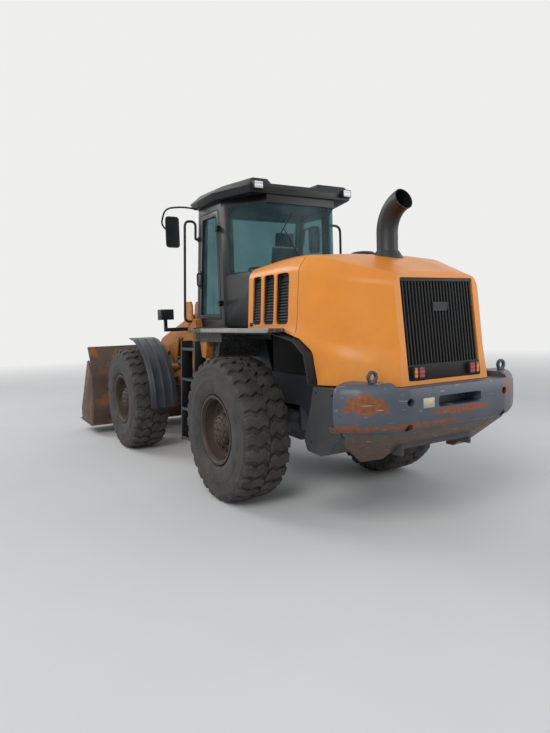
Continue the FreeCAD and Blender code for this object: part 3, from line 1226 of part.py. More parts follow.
def linkage():
    """Bellcrank, link and the pins they turn on."""
    half = S.arm_centre + S.arm_plate / 2 + S.side_gap + 30
    near = S.arm_centre - S.arm_plate / 2 - S.side_gap - 30
    pin_piece("bucket_pins", S.bucket_pin_x, S.bucket_pin_z, S.bucket_pin, [(near, half), (-half, -near)])
    keeper = pin_piece("crank_pin", S.crank_x, S.crank_z, S.crank_pin, [(-125, 125)])
    ear_face = S.crank_half + S.side_gap + S.crank_ear + S.seat_gap
    for way in (-1, 1):
        keeper.pad_round("keeper", "XZ", [(S.crank_x, S.crank_z, 95)],
                         *side_span(way, ear_face, ear_face + 24))
    crank = Piece("bellcrank")
    low_run, low_rise = S.crank_low_x - S.crank_x, S.crank_low_z - S.crank_z
    high_run, high_rise = S.crank_top_x - S.crank_x, S.crank_top_z - S.crank_z
    lower = [(-78, 20), (78, 20), (low_run + 60, low_rise), (low_run + 30, low_rise - 60),
             (low_run - 30, low_rise - 60),
             (low_run - 60, low_rise)]
    crank.pad("lower_arm", "XZ", lower, -35, 35)
    for way in (-1, 1):
        upper = [(-78, -20), (78, -20), (high_run + 60, high_rise), (high_run + 30, high_rise + 60),
                 (high_run - 30, high_rise + 60), (high_run - 60, high_rise)]
        crank.pad("upper_arm", "XZ", upper, *side_span(way, S.crank_half - S.crank_plate, S.crank_half))
        crank.pad_round("head_boss", "XZ", [(high_run, high_rise, 40)], *side_span(way, S.crank_half - 1,
                                                                                  S.crank_half + 15))
    crank.pad_round("boss", "XZ", [(0, 0, 80)], -S.crank_half, S.crank_half)
    crank.cut_round("bore", "XZ", [(0, 0, S.crank_pin + S.fit)], -S.crank_half - 1, S.crank_half + 1)
    crank.cut_round("link_bore", "XZ", [(low_run, low_rise, S.link_pin + S.fit)], -36, 36)
    crank.place(S.crank_x, 0, S.crank_z)
    keeper = pin_piece("link_pin", S.crank_low_x, S.crank_low_z, S.link_pin, [(-72, 72)])
    for way in (-1, 1):
        keeper.pad_round("keeper", "XZ", [(S.crank_low_x, S.crank_low_z, 62)],
                         *side_span(way, 66 + S.seat_gap, 86))
    link = Piece("tilt_link")
    reach = distance(S.bucket_link_x - S.crank_low_x, S.bucket_link_z - S.crank_low_z)
    for way in (-1, 1):
        bar = [(-50, -50), (reach + 45, -45), (reach + 45, 45), (-50, 50)]
        link.pad("bar", "XZ", bar, *side_span(way, 41, 66))
        link.cut_round("bore", "XZ", [(0, 0, S.link_pin + S.fit)], *side_span(way, 40, 67))
    link.pad("web", "XZ", box(200, reach - 100, -35, 35), -45, 45)
    link.place(S.crank_low_x, 0, S.crank_low_z, (0, -1, 0),
               heading(S.bucket_link_x - S.crank_low_x, S.bucket_link_z - S.crank_low_z))


def cylinder(label, plural, sides, plane, base, eye, sizes, base_half, eye_half, spot, axis):
    """Barrel and rod of a hydraulic cylinder, drawn along X from the base pin and turned to its rod eye."""
    bore, rod, barrel_length, rod_length = sizes
    length = distance(eye[0] - base[0], eye[1] - base[1])
    angle = heading(eye[0] - base[0], eye[1] - base[1])
    barrel = Piece(f"{label}_barrel{plural}")
    ram = Piece(f"{label}_rod{plural}")
    for offset in sides:
        low, high = offset - base_half, offset + base_half
        centre = (offset, 0) if plane == "XZ" else (0, offset)
        barrel.pad_round("tube", "YZ", [(*centre, bore)], S.pin_radius + 40, barrel_length)
        barrel.pad("shank", plane, box(0, S.pin_radius + 60, -S.pin_radius, S.pin_radius), low, high)
        barrel.pad_round("eye", plane, [(0, 0, S.pin_radius + 25)], low, high)
        barrel.cut_round("bore", "YZ", [(*centre, rod + S.fit)], S.pin_radius + 80, barrel_length + 1)
        barrel.cut_round("pin_bore", plane, [(0, 0, S.pin_radius + S.fit)], low - 1, high + 1)
        ram.pad_round("rod", "YZ", [(*centre, rod)], length - rod_length, length - 10)
        ram.pad_round("eye", plane, [(length, 0, rod + 20)], offset - eye_half, offset + eye_half)
    for piece in (barrel, ram):
        piece.place(*spot, axis, angle)


def cylinders():
    """Lift, tilt and steering cylinders."""
    pitch = (0, -1, 0)
    cylinder("lift", "s", (S.arm_centre, -S.arm_centre), "XZ", (S.lift_base_x, S.lift_base_z),
             (S.lift_eye_x, S.lift_eye_z), (S.lift_bore, S.lift_rod, S.lift_barrel_length,
                                            S.lift_rod_length),
             S.lift_bore + 2, S.arm_plate / 2, (S.lift_base_x, 0, S.lift_base_z), pitch)
    cylinder("tilt", "", (size(0),), "XZ", (S.tilt_base_x, S.tilt_base_z), (S.crank_top_x, S.crank_top_z),
             (S.tilt_bore, S.tilt_rod, S.tilt_barrel_length, S.tilt_rod_length),
             S.tilt_bore + 2, S.crank_half - S.crank_plate - S.side_gap, (S.tilt_base_x, 0, S.tilt_base_z),
             pitch)
    for side, name in ((1, "left"), (-1, "right")):
        base = (S.steer_base_x, side * S.steer_base_y)
        cylinder(f"steer_{name}", "", (size(0),), "XY", base, (S.steer_eye_x, side * S.steer_eye_y),
                 (S.steer_bore, S.steer_rod, S.steer_barrel_length, S.steer_rod_length), S.steer_bore,
                 S.steer_bore,
                 (*base, S.steer_level), (0, 0, 1))


def build():
    for make in (rear_chassis, hinge_pins, axles, counterweight, lifting_eyes, engine_block, side_boxes,
                 rear_fenders,
                 platforms, ladders, cab, cab_glass, seat, rear_housing, steering_console, handrails,
                 mirrors, roof_lamps, cowl, cowl_vents,
                 precleaner, hood, door, wheels, front_chassis, front_fenders, work_lamps, boom, bucket,
                 linkage,
                 cylinders):
        make()
    doc.recompute()


def check():
    """Stops on any failed object, empty shape or cut that removed nothing."""
    for thing in doc.Objects:
        if "Invalid" in thing.State or "Error" in thing.State:
            raise RuntimeError(f"{thing.Name} failed: {thing.State}")
        if thing.TypeId in ("PartDesign::Pocket", "PartDesign::Groove", "PartDesign::SubtractiveLoft"):
            if thing.Shape.Volume > thing.BaseFeature.Shape.Volume - 1:
                raise RuntimeError(f"{thing.Name} cut nothing")
    for piece in pieces:
        shape = piece.body.Shape
        if shape.isNull() or not shape.isValid():
            raise RuntimeError(f"{piece.body.Label} has no valid shape")


def write():
    os.makedirs("parts", exist_ok=True)
    for piece in pieces:
        piece.body.Shape.exportStep(f"parts/{piece.body.Label}.step")
        print(piece.body.Label, len(piece.body.Shape.Solids), round(piece.body.Shape.Volume / 1e9, 4))


build()
check()
write()
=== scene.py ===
import math

import bmesh
import bpy
from mathutils import Matrix, Vector


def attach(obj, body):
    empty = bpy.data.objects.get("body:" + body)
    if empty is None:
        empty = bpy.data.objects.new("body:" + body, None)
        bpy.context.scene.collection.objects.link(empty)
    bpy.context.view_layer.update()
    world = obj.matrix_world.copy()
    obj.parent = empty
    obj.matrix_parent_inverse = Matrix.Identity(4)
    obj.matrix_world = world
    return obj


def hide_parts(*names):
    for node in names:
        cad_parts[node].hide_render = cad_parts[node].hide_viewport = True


# Wheel loader with an articulated frame, dressed over its solids.
# Metres: X points forward, Y to the left, Z up; the origin lies on the ground under the frame hinge.

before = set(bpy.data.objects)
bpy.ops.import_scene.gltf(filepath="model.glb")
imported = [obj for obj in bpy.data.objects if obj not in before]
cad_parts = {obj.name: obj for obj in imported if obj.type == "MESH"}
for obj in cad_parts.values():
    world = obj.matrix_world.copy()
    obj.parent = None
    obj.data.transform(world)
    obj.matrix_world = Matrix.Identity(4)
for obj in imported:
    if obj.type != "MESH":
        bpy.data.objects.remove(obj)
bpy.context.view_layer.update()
bpy.context.scene.view_settings.view_transform = "Standard"


# Finishes

def to_linear(code):
    """The linear colour of an sRGB hex code."""
    parts = [int(code[i:i + 2], 16) / 255 for i in (0, 2, 4)]
    return tuple(p / 12.92 if p <= 0.04045 else ((p + 0.055) / 1.055) ** 2.4 for p in parts) + (1.0,)


def add(tree, kind, feeds, **settings):
    """Adds a node with its settings; a socket gets a value, a hex colour or another node's first output."""
    node = tree.nodes.new("ShaderNode" + kind)
    for name, value in settings.items():
        setattr(node, name, value)
    for socket, value in feeds.items():
        if isinstance(socket, str):
            socket = [s.name if s.enabled else "" for s in node.inputs].index(socket)
        if isinstance(value, bpy.types.Node):
            value = [out for out in value.outputs if out.enabled][0]
        if isinstance(value, bpy.types.NodeSocket):
            tree.links.new(value, node.inputs[socket])
        else:
            node.inputs[socket].default_value = to_linear(value) if isinstance(value, str) else value
    return node


def feed(tree, node, **sources):
    """Links each source's first output to the socket of that name; _ stands for a space."""
    for socket, source in sources.items():
        output = [out for out in source.outputs if out.enabled][0]
        tree.links.new(output, node.inputs[socket.replace("_", " ")])


def finish(name, **sockets):
    """A new finish: its material, tree, shader and the place on the object that its patterns follow."""
    material = bpy.data.materials.new(name)
    material.use_nodes = True
    tree = material.node_tree
    shader = tree.nodes["Principled BSDF"]
    for socket, value in sockets.items():
        shader.inputs[socket.replace("_", " ")].default_value = value
    return material, tree, shader, add(tree, "TexCoord", {}).outputs["Object"]


def patches(tree, where, size_mm, low, high, detail=4.0):
    """A mask of ragged patches of about this size: none at the low noise level, full at the high one."""
    noise = add(tree, "TexNoise", {"Vector": where, "Scale": 1000 / size_mm, "Detail": detail,
                                   "Roughness": 0.62})
    return add(tree, "MapRange", {"Value": noise, "From Min": low, "From Max": high})


def weathered(name, base, shade, dirt, chip, dirt_top, dirt_share, chip_level, chip_mm, gloss, grain_mm,
              grain_deep, **sockets):
    """Paint or bare metal with a slow drift of colour, dirt that thins with height, chips and a fine grain.

    After the colours come the height that dirt reaches and its share low down, the noise level and size of the
    chips, the roughness where clean and where soiled, and the size and depth of the grain.
    """
    material, tree, shader, where = finish(name, **sockets)
    drift = patches(tree, where, 900, 0.35, 0.65)
    colour = add(tree, "Mix", {"Factor": drift, "A": base, "B": shade}, data_type="RGBA")
    height = add(tree, "SeparateXYZ", {"Vector": where}).outputs["Z"]
    low_down = add(tree, "MapRange", {"Value": height, "From Min": 0.2, "From Max": dirt_top,
                                      "To Min": dirt_share,
                                      "To Max": dirt_share * 0.12})
    soiled = add(tree, "Math", {0: patches(tree, where, 140, 0.36, 0.66, 8.0), 1: low_down},
                 operation="MULTIPLY")
    colour = add(tree, "Mix", {"Factor": soiled, "A": colour, "B": dirt}, data_type="RGBA")
    worn = patches(tree, where, chip_mm, chip_level, chip_level + 0.03, 10.0)
    colour = add(tree, "Mix", {"Factor": worn, "A": colour, "B": chip}, data_type="RGBA")
    dull = add(tree, "Math", {0: soiled, 1: worn}, operation="MAXIMUM")
    rough = add(tree, "MapRange", {"Value": dull, "To Min": gloss[0], "To Max": gloss[1]})
    grain = add(tree, "TexNoise", {"Vector": where, "Scale": 1000 / grain_mm, "Detail": 3.0})
    relief = add(tree, "Math", {0: worn, 1: -2.0, 2: grain}, operation="MULTIPLY_ADD")
    bump = add(tree, "Bump", {"Height": relief, "Strength": 0.5, "Distance": grain_deep})
    feed(tree, shader, Base_Color=colour, Roughness=rough, Normal=bump)
    return material, tree, shader, where, colour


# Machine enamel sprayed on pressed steel: a warm orange with a soft sheen, dusty low down
ORANGE = weathered("sprayed_enamel_orange", "E8902C", "DD8526", "8C6A46", "7A4A2A", 1.9, 0.45, 0.76, 45,
                   (0.34, 0.62), 2.0, 0.0002)[0]
# The same enamel on frame and boom, which work in mud: darker, and rubbed to rust at the corners
ORANGE_FRAME = weathered("sprayed_enamel_orange_muddy", "C97A26", "A8662A", "5B4B3C", "59331F", 2.0, 0.85,
                         0.64, 70,
                         (0.45, 0.8), 3.0, 0.0006)[0]
# Dark grey enamel on plate: bluish where clean, brown where mud has dried
GREY = weathered("sprayed_enamel_slate", "3A424D", "30363F", "5A4F44", "241C17", 1.5, 0.6, 0.68, 60,
                 (0.42, 0.75),
                 3.0, 0.0006)[0]
# Nearly black slate enamel of the skirts beside the tail
SKIRT = weathered("sprayed_enamel_deep_slate", "1C2026", "22262C", "4A4037", "121110", 1.4, 0.6, 0.68, 60,
                  (0.4, 0.7),
                  3.0, 0.0005)[0]
# Satin powder coat of the cab: a low even sheen under thin dust
BLACK = weathered("powder_coat_black", "0F1114", "16191D", "3A3835", "08080A", 2.6, 0.3, 0.74, 40,
                  (0.38, 0.6), 1.5,
                  0.0002, Specular_IOR_Level=0.4)[0]
# Grained polypropylene of vents and mirror shells: greyer and duller than the paint
PLASTIC = weathered("moulded_polypropylene_black", "111316", "181B1E", "3F3B37", "0C0C0D", 1.9, 0.4, 0.78, 50,
                    (0.5, 0.72), 1.2, 0.0004, Specular_IOR_Level=0.4)[0]
# Moulded slate-blue shells of the fenders
FENDER = weathered("moulded_shell_slate", "363E49", "2E353E", "5C554D", "1D2024", 1.7, 0.45, 0.76, 60,
                   (0.42, 0.7), 2.0,
                   0.0003)[0]
# Rubber of a working tyre: dull charcoal under dried mud
RUBBER = weathered("vulcanised_rubber_dusty", "302F2F", "262626", "5E5850", "191918", 3.0, 0.65, 0.75, 50,
                   (0.72, 0.95), 2.5, 0.0012)[0]
# Painted wheel disc browned by brake dust and clay
RIM = weathered("rim_enamel_brown", "35291F", "291F18", "4B3C2F", "1B1410", 3.0, 0.7, 0.66, 50, (0.5, 0.8),
                3.0,
                0.0006)[0]
# Cylinder barrels, enamelled dark
BARREL = weathered("sprayed_enamel_barrel", "43474C", "35383C", "5B5044", "222222", 2.0, 0.5, 0.7, 50,
                   (0.4, 0.7), 2.0,
                   0.0003)[0]
# Ground pins and nuts, dark with grease
PIN = weathered("turned_steel_greasy", "55534F", "3F3D3A", "2A2521", "6B4A33", 3.0, 0.6, 0.66, 30,
                (0.35, 0.6), 1.5,
                0.0003, Metallic=0.85)[0]
# Rolled steel of the exhaust, blackened by heat
STACK = weathered("rolled_steel_heat_blackened", "111215", "191A1D", "2E2A26", "241C17", 4.0, 0.3, 0.74, 40,
                  (0.45, 0.7), 2.0, 0.0004)[0]


def bucket_steel():
    """Abrasion plate of the bucket: brown rust with bright scraped streaks towards the cutting edge."""
    material, tree, shader, where, colour = weathered(
        "abrasion_plate_rusty", "4E382B", "36291F", "5E4C3B", "241B15", 1.3, 0.4, 0.64, 120, (0.6, 0.85), 4.0,
                                                      0.001)
    across = add(tree, "Mapping", {"Vector": where, "Scale": (1.2, 40.0, 6.0)})
    streak = add(tree, "TexNoise", {"Vector": across, "Scale": 1.6, "Detail": 6.0})
    bare = add(tree, "MapRange", {"Value": streak, "From Min": 0.54, "From Max": 0.7})
    forward = add(tree, "SeparateXYZ", {"Vector": where}).outputs["X"]
    edge = add(tree, "MapRange", {"Value": forward, "From Min": 3.1, "From Max": 3.75})
    share = add(tree, "Math", {0: bare, 1: edge}, operation="MULTIPLY")
    fresh = patches(tree, where, 330, 0.50, 0.60, 9.0)
    colour = add(tree, "Mix", {"Factor": fresh, "A": colour, "B": "7C4A27"}, data_type="RGBA")
    scraped = add(tree, "Mix", {"Factor": share, "A": colour, "B": "8E8A84"}, data_type="RGBA")
    metal = add(tree, "Math", {0: share, 1: 0.8}, operation="MULTIPLY")
    feed(tree, shader, Base_Color=scraped, Metallic=metal)
    return material


# Where the tail has been rubbed bare: the middle of each place, and how far it reaches along X, Y and Z
RUBBED = (((-3.58, 0.87, 1.18), (0.16, 0.17, 0.085)), ((-3.5, 0.97, 0.985), (0.16, 0.2, 0.035)),
          ((-3.75, -0.02, 1.085), (0.3, 0.34, 0.03)), ((-3.71, -0.62, 1.2), (0.2, 0.07, 0.1)),
          ((-3.7, 0.45, 1.0), (0.3, 0.5, 0.022)), ((-3.5, -0.95, 1.12), (0.2, 0.16, 0.07)))


def tail_casting():
    """Enamelled cast iron of the counterweight: slate blue, with rust where it has been rubbed against walls."""
    material, tree, shader, where, colour = weathered(
        "cast_iron_enamel_slate", "4A535F", "3E4651", "6A5B4B", "3A241A", 1.25, 0.4, 0.67, 110, (0.4, 0.75),
                                                      5.0, 0.0014)
    ragged = add(tree, "TexNoise", {"Vector": where, "Scale": 11.0, "Detail": 9.0, "Roughness": 0.65})
    rust = None
    for middle, reach in RUBBED:
        offset = add(tree, "VectorMath", {0: where, 1: middle}, operation="SUBTRACT")
        scaled = add(tree, "VectorMath", {0: offset, 1: reach}, operation="DIVIDE")
        far = add(tree, "VectorMath", {0: scaled}, operation="LENGTH")
        uneven = add(tree, "Math", {0: ragged, 1: 2.2, 2: far}, operation="MULTIPLY_ADD")
        patch = add(tree, "MapRange", {"Value": uneven, "From Min": 2.2, "From Max": 1.95})
        rust = patch if rust is None else add(tree, "Math", {0: rust, 1: patch}, operation="MAXIMUM")
    speckle = patches(tree, where, 30, 0.4, 0.6, 6.0)
    rusty = add(tree, "Mix", {"Factor": speckle, "A": "8A4C26", "B": "744022"}, data_type="RGBA")
    colour = add(tree, "Mix", {"Factor": rust, "A": colour, "B": rusty}, data_type="RGBA")
    height = add(tree, "SeparateXYZ", {"Vector": where}).outputs["Z"]
    uneven = add(tree, "Math", {0: ragged, 1: 0.5, 2: height}, operation="MULTIPLY_ADD")
    belly = add(tree, "MapRange", {"Value": uneven, "From Min": 1.25, "From Max": 1.12})
    muddy = add(tree, "Mix", {"Factor": speckle, "A": "5E4433", "B": "4A382C"}, data_type="RGBA")
    colour = add(tree, "Mix", {"Factor": belly, "A": colour, "B": muddy}, data_type="RGBA")
    level = add(tree, "Mapping", {"Vector": where, "Scale": (3.0, 3.0, 30.0)})
    lines = add(tree, "TexNoise", {"Vector": level, "Scale": 2.0, "Detail": 8.0})
    bright = add(tree, "MapRange", {"Value": lines, "From Min": 0.66, "From Max": 0.7, "To Max": 0.8})
    colour = add(tree, "Mix", {"Factor": bright, "A": colour, "B": "A9A29A"}, data_type="RGBA")
    feed(tree, shader, Base_Color=colour)
    return material


def chrome():
    """Hard chrome on a ground rod: mirror bright with an oily film."""
    material, tree, shader, where = finish("hard_chrome", Metallic=1.0)
    film = patches(tree, where, 80, 0.4, 0.7)
    colour = add(tree, "Mix", {"Factor": film, "A": "C9CBCE", "B": "9C9A94"}, data_type="RGBA")
    rough = add(tree, "MapRange", {"Value": film, "To Min": 0.1, "To Max": 0.3})
    feed(tree, shader, Base_Color=colour, Roughness=rough)
    return material


def tinted_glass():
    """Green-tinted safety glass: clear, with a film of dust and a soft sheen."""
    material, tree, shader, where = finish("tinted_safety_glass", Roughness=0.08, IOR=1.5)
    dust = patches(tree, where, 260, 0.4, 0.8, 8.0)
    colour = add(tree, "Mix", {"Factor": dust, "A": "5E8288", "B": "8BA3A6"}, data_type="RGBA")
    feed(tree, shader, Base_Color=colour)
    clear = add(tree, "BsdfTransparent", {"Color": "C3D5D7"})
    film = add(tree, "MapRange", {"Value": dust, "To Min": 0.10, "To Max": 0.22})
    both = add(tree, "MixShader", {0: film, 1: clear, 2: shader})
    feed(tree, tree.nodes["Material Output"], Surface=both)
    return material


def lens(name, colour, deep):
    """Ribbed polycarbonate lens over a reflector; its ribs are drawn 18 mm apart so that they show."""
    material, tree, shader, where = finish(name, IOR=1.58, Coat_Weight=0.6, Roughness=0.18)
    ribs = add(tree, "TexWave", {"Vector": where, "Scale": 8.7}, bands_direction="Z")
    mixed = add(tree, "Mix", {"Factor": ribs, "A": colour, "B": deep}, data_type="RGBA")
    bump = add(tree, "Bump", {"Height": ribs.outputs["Fac"], "Strength": 0.6, "Distance": 0.001})
    feed(tree, shader, Base_Color=mixed, Normal=bump)
    return material


def woven_cloth():
    """Charcoal seat cloth: a close weave drawn at 12 mm so that it shows, with a faint sheen."""
    material, tree, shader, where = finish("woven_polyester_charcoal", Roughness=0.9, Sheen_Weight=0.3)
    warp = add(tree, "TexWave", {"Vector": where, "Scale": 26.0, "Distortion": 0.6}, bands_direction="Y")
    weft = add(tree, "TexWave", {"Vector": where, "Scale": 26.0, "Distortion": 0.6}, bands_direction="Z")
    weave = add(tree, "Math", {0: warp.outputs["Fac"], 1: weft.outputs["Fac"]}, operation="MULTIPLY")
    colour = add(tree, "Mix", {"Factor": weave, "A": "1E2023", "B": "34373B"}, data_type="RGBA")
    bump = add(tree, "Bump", {"Height": weave, "Strength": 0.5, "Distance": 0.0015})
    feed(tree, shader, Base_Color=colour, Normal=bump)
    return material


def deck_plate():
    """Checker plate of the walkways: raised pips about 36 mm apart, rubbed pale on top."""
    material, tree, shader, where, colour = weathered(
        "rolled_checker_plate", "3A3D41", "2D3034", "6A6157", "8B8985", 2.4, 0.55, 0.7, 40, (0.45, 0.8), 2.0,
                                                      0.0003)
    pips = add(tree, "TexVoronoi", {"Vector": where, "Scale": 28.0})
    raised = add(tree, "MapRange", {"Value": pips.outputs["Distance"], "From Min": 0.36, "From Max": 0.24})
    share = add(tree, "Math", {0: raised, 1: 0.4}, operation="MULTIPLY")
    rubbed = add(tree, "Mix", {"Factor": share, "A": colour, "B": "8F8C86"}, data_type="RGBA")
    bump = add(tree, "Bump", {"Height": raised, "Strength": 0.8, "Distance": 0.002})
    feed(tree, shader, Base_Color=rubbed, Normal=bump)
    return material


# Colour and strength of the backdrop that shows behind the machine
BACKDROP = {"Color": "F4F4F3", "Strength": 0.95}


def seen_directly(tree):
    """1 for rays that show the backdrop straight, in a gloss or through glass, and 0 for those that light."""
    rays = add(tree, "LightPath", {})
    seen = add(tree, "Math", {0: rays.outputs["Is Camera Ray"], 1: rays.outputs["Is Glossy Ray"]},
               operation="MAXIMUM")
    return add(tree, "Math", {0: seen, 1: rays.outputs["Is Transmission Ray"]}, operation="MAXIMUM")


def ground():
    """Pale matt ground that keeps the shadow."""
    material, tree, shader, where = finish("matt_ground_pale", Roughness=0.9)
    tone = patches(tree, where, 4000, 0.3, 0.7)
    colour = add(tree, "Mix", {"Factor": tone, "A": "DEDEDC", "B": "D6D6D5"}, data_type="RGBA")
    feed(tree, shader, Base_Color=colour)
    away = add(tree, "VectorMath", {0: where}, operation="LENGTH")
    haze = add(tree, "MapRange", {"Value": away.outputs["Value"], "From Min": 7.0, "From Max": 24.0})
    share = add(tree, "Math", {0: haze, 1: seen_directly(tree)}, operation="MULTIPLY")
    far = add(tree, "Emission", BACKDROP)
    both = add(tree, "MixShader", {0: share, 1: shader, 2: far})
    feed(tree, tree.nodes["Material Output"], Surface=both)
    return material


BUCKET = bucket_steel()
CASTING = tail_casting()
CHROME = chrome()
GLASS = tinted_glass()
AMBER = lens("polycarbonate_amber", "E88A1E", "B85F10")
RED = lens("polycarbonate_red", "B3241C", "7C1510")
CLEAR = lens("polycarbonate_clear", "EEF0F0", "B9C0C4")
CLOTH = woven_cloth()
DECK = deck_plate()
# Ribs and panel of the grille: deep black, hardly any shine
GRILLE = weathered("moulded_grille_black", "090A0C", "0E0F12", "2A2826", "060607", 2.2, 0.3, 0.8, 40,
                   (0.5, 0.7), 1.5,
                   0.0002, Specular_IOR_Level=0.3)[0]
# Folded aluminium edge of the walkway, dulled by boots
TRIM = weathered("folded_aluminium_edge", "A9A7A4", "8F8C89", "6E675F", "C9C8C5", 2.4, 0.5, 0.66, 40,
                 (0.35, 0.6), 1.5,
                 0.0003, Metallic=0.6)[0]
# Blank pressed plate, cream enamel
PLATE = weathered("pressed_plate_cream", "C9BFA4", "BDB296", "8A7E6A", "6F6558", 1.6, 0.3, 0.75, 20,
                  (0.4, 0.6), 1.0,
                  0.0002)[0]


# Meshes

def piece(name, body, coat, mesh, slot, *nodes, sharp=None):
    """Makes one piece from a mesh; it rides on a body and stands for the nodes it replaces.

    Edges that turn by more than the sharp angle, in degrees, stay crisp; without one they are all soft.
    """
    bmesh.ops.recalc_face_normals(mesh, faces=mesh.faces)
    data = bpy.data.meshes.new(name)
    mesh.to_mesh(data)
    mesh.free()
    data.materials.append(coat)
    obj = bpy.data.objects.new(name, data)
    bpy.context.scene.collection.objects.link(obj)
    data.shade_smooth()
    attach(obj, body)
    if nodes:
        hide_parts(*nodes)
    if sharp:
        data.set_sharp_from_angle(angle=math.radians(sharp))
    return obj


def ease(obj, radius, segments=2, angle=35):
    """Rounds the sharp edges of a piece and keeps its flats flat."""
    weld = obj.modifiers.new("weld", "WELD")
    weld.merge_threshold = 0.00002
    bevel = obj.modifiers.new("edges", "BEVEL")
    bevel.width, bevel.segments, bevel.limit_method = radius, segments, "ANGLE"
    bevel.angle_limit, bevel.harden_normals = math.radians(angle), True
    bevel.use_clamp_overlap = True
    obj.data.shade_smooth()


def skin(mesh, rings, closed=True, cap_first=True, cap_last=True):
    """Joins rings of points, each with the same count, into one sleeve."""
    rows = [[mesh.verts.new(point) for point in ring] for ring in rings]
    count = len(rows[0])
    for one, two in zip(rows, rows[1:]):
        for i in range(count if closed else count - 1):
            j = (i + 1) % count
            mesh.faces.new((one[i], one[j], two[j], two[i]))
    if cap_first:
        mesh.faces.new(rows[0])
    if cap_last:
        mesh.faces.new(rows[-1])
    return rows


def slab(mesh, outline, way, near, far):
    """A flat plate: its outline lies across the way named, and it runs from near to far along it."""
    axis = "xyz".index(way)
    skin(mesh, [[(*spot[:axis], level, *spot[axis:]) for spot in outline] for level in (near, far)])


def circle(radius, count, middle=(0.0, 0.0)):
    """Points round a circle, as pairs."""
    turns = [2 * math.pi * k / count for k in range(count)]
    return [(middle[0] + radius * math.cos(a), middle[1] + radius * math.sin(a)) for a in turns]


def drawn_in(outline, middle, share):
    """An outline scaled about its middle."""
    return [(middle[0] + (a - middle[0]) * share, middle[1] + (b - middle[1]) * share) for a, b in outline]


def rounded(corners, radius, steps=4):
    """A closed outline with its corners rounded by arcs; a radius may be given for each corner."""
    count = len(corners)
    radii = radius if isinstance(radius, (list, tuple)) else [radius] * count
    outline = []
    for i, corner in enumerate(corners):
        here = Vector(corner)
        back = Vector(corners[i - 1]) - here
        ahead = Vector(corners[(i + 1) % count]) - here
        if radii[i] == 0.0:
            outline.append(tuple(here))
            continue
        half = back.angle(ahead) / 2
        reach = max(0.0002, min(radii[i] / math.tan(half), back.length * 0.49, ahead.length * 0.49))
        start, end = here + back.normalized() * reach, here + ahead.normalized() * reach
        for step in range(steps + 1):
            t = step / steps
            outline.append(tuple(start * (1 - t) ** 2 + here * 2 * t * (1 - t) + end * t ** 2))
    return outline


def oblong(a0, b0, a1, b1, radius=0.0, steps=4):
    """The outline of a rectangle from one corner to the opposite one, with its corners rounded."""
    return rounded([(a0, b0), (a1, b0), (a1, b1), (a0, b1)], radius, steps)


def tube(mesh, path, radius, sides=12, closed=False):
    """A round bar or pipe along a path of points; a radius may be given for each point."""
    points = [Vector(p) for p in path]
    radii = radius if isinstance(radius, (list, tuple)) else [radius] * len(points)
    rings = []
    side = None
    for i, point in enumerate(points):
        before = points[i - 1] if i or closed else points[0]
        after = points[(i + 1) % len(points)] if i < len(points) - 1 or closed else points[-1]
        along = (after - before).normalized()
        if side is None:
            side = along.orthogonal().normalized()
        side = (side - along * side.dot(along)).normalized()
        up = along.cross(side)
        rings.append([point + (side * c + up * s) * radii[i] for c, s in circle(1.0, sides)])
    if closed:
        rings.append(rings[0])
    skin(mesh, rings, True, not closed, not closed)
    bmesh.ops.remove_doubles(mesh, verts=mesh.verts, dist=1e-6)


def bend(corners, radius, steps=5):
    """A path through these corners, with each inner corner rounded."""
    path = [Vector(corners[0])]
    for before, corner, after in zip(corners, corners[1:], corners[2:]):
        here = Vector(corner)
        back, ahead = Vector(before) - here, Vector(after) - here
        reach = min(radius, back.length * 0.45, ahead.length * 0.45)
        start, end = here + back.normalized() * reach, here + ahead.normalized() * reach
        for step in range(steps + 1):
            t = step / steps
            path.append(start * (1 - t) ** 2 + here * 2 * t * (1 - t) + end * t ** 2)
    path.append(Vector(corners[-1]))
    return path


def revolve(mesh, section, centre, way, steps=48, caps=(True, True)):
    """A turned piece: its section gives (along, radius) pairs about the way named, 'x', 'y' or 'z'."""
    axis = "xyz".index(way)
    middle = [*centre[:axis], *centre[axis + 1:]]
    rings = []
    for along, radius in section:
        level = centre[axis] + along
        ring = circle(max(radius, 1e-4), steps, middle)
        rings.append([(*spot[:axis], level, *spot[axis:]) for spot in ring])
    skin(mesh, rings, True, *caps)


def bolt(mesh, centre, way, size=0.016, proud=0.012):
    """A hexagon head on its washer, standing along the way named, a unit vector."""
    along = Vector(way).normalized()
    side = along.orthogonal().normalized()
    up = along.cross(side)
    for sides, radius, low, high in ((14, size * 1.15, 0.0, proud * 0.25),
                                     (6, size * 0.8, proud * 0.25, proud)):
        rings = []
        for level, share in ((low, 1.0), (high * 0.94, 1.0), (high, 0.88)):
            rings.append([Vector(centre) + along * level + (side * c + up * s) * radius * share
                          for c, s in circle(1.0, sides)])
        skin(mesh, rings)


# Camera, light and floor

CAMERA_PLACE = (-7.072, 3.763, 1.865)
YAW, PITCH, ROLL = math.radians(-31.02), math.radians(4.61), math.radians(-1.75)
ahead = Vector((math.cos(YAW) * math.cos(PITCH), math.sin(YAW) * math.cos(PITCH), -math.sin(PITCH)))
right = Vector((math.sin(YAW), -math.cos(YAW), 0.0))
above = right.cross(ahead)
turned = right * math.cos(ROLL) + above * math.sin(ROLL)
upward = above * math.cos(ROLL) - right * math.sin(ROLL)
camera = bpy.data.objects.new("camera", bpy.data.cameras.new("camera"))
facing = Matrix((turned, upward, -ahead)).transposed().to_4x4()
camera.matrix_world = Matrix.Translation(CAMERA_PLACE) @ facing
camera.data.lens, camera.data.sensor_width, camera.data.clip_end = 28.85, 36.0, 400.0
bpy.context.scene.collection.objects.link(camera)
bpy.context.scene.camera = camera

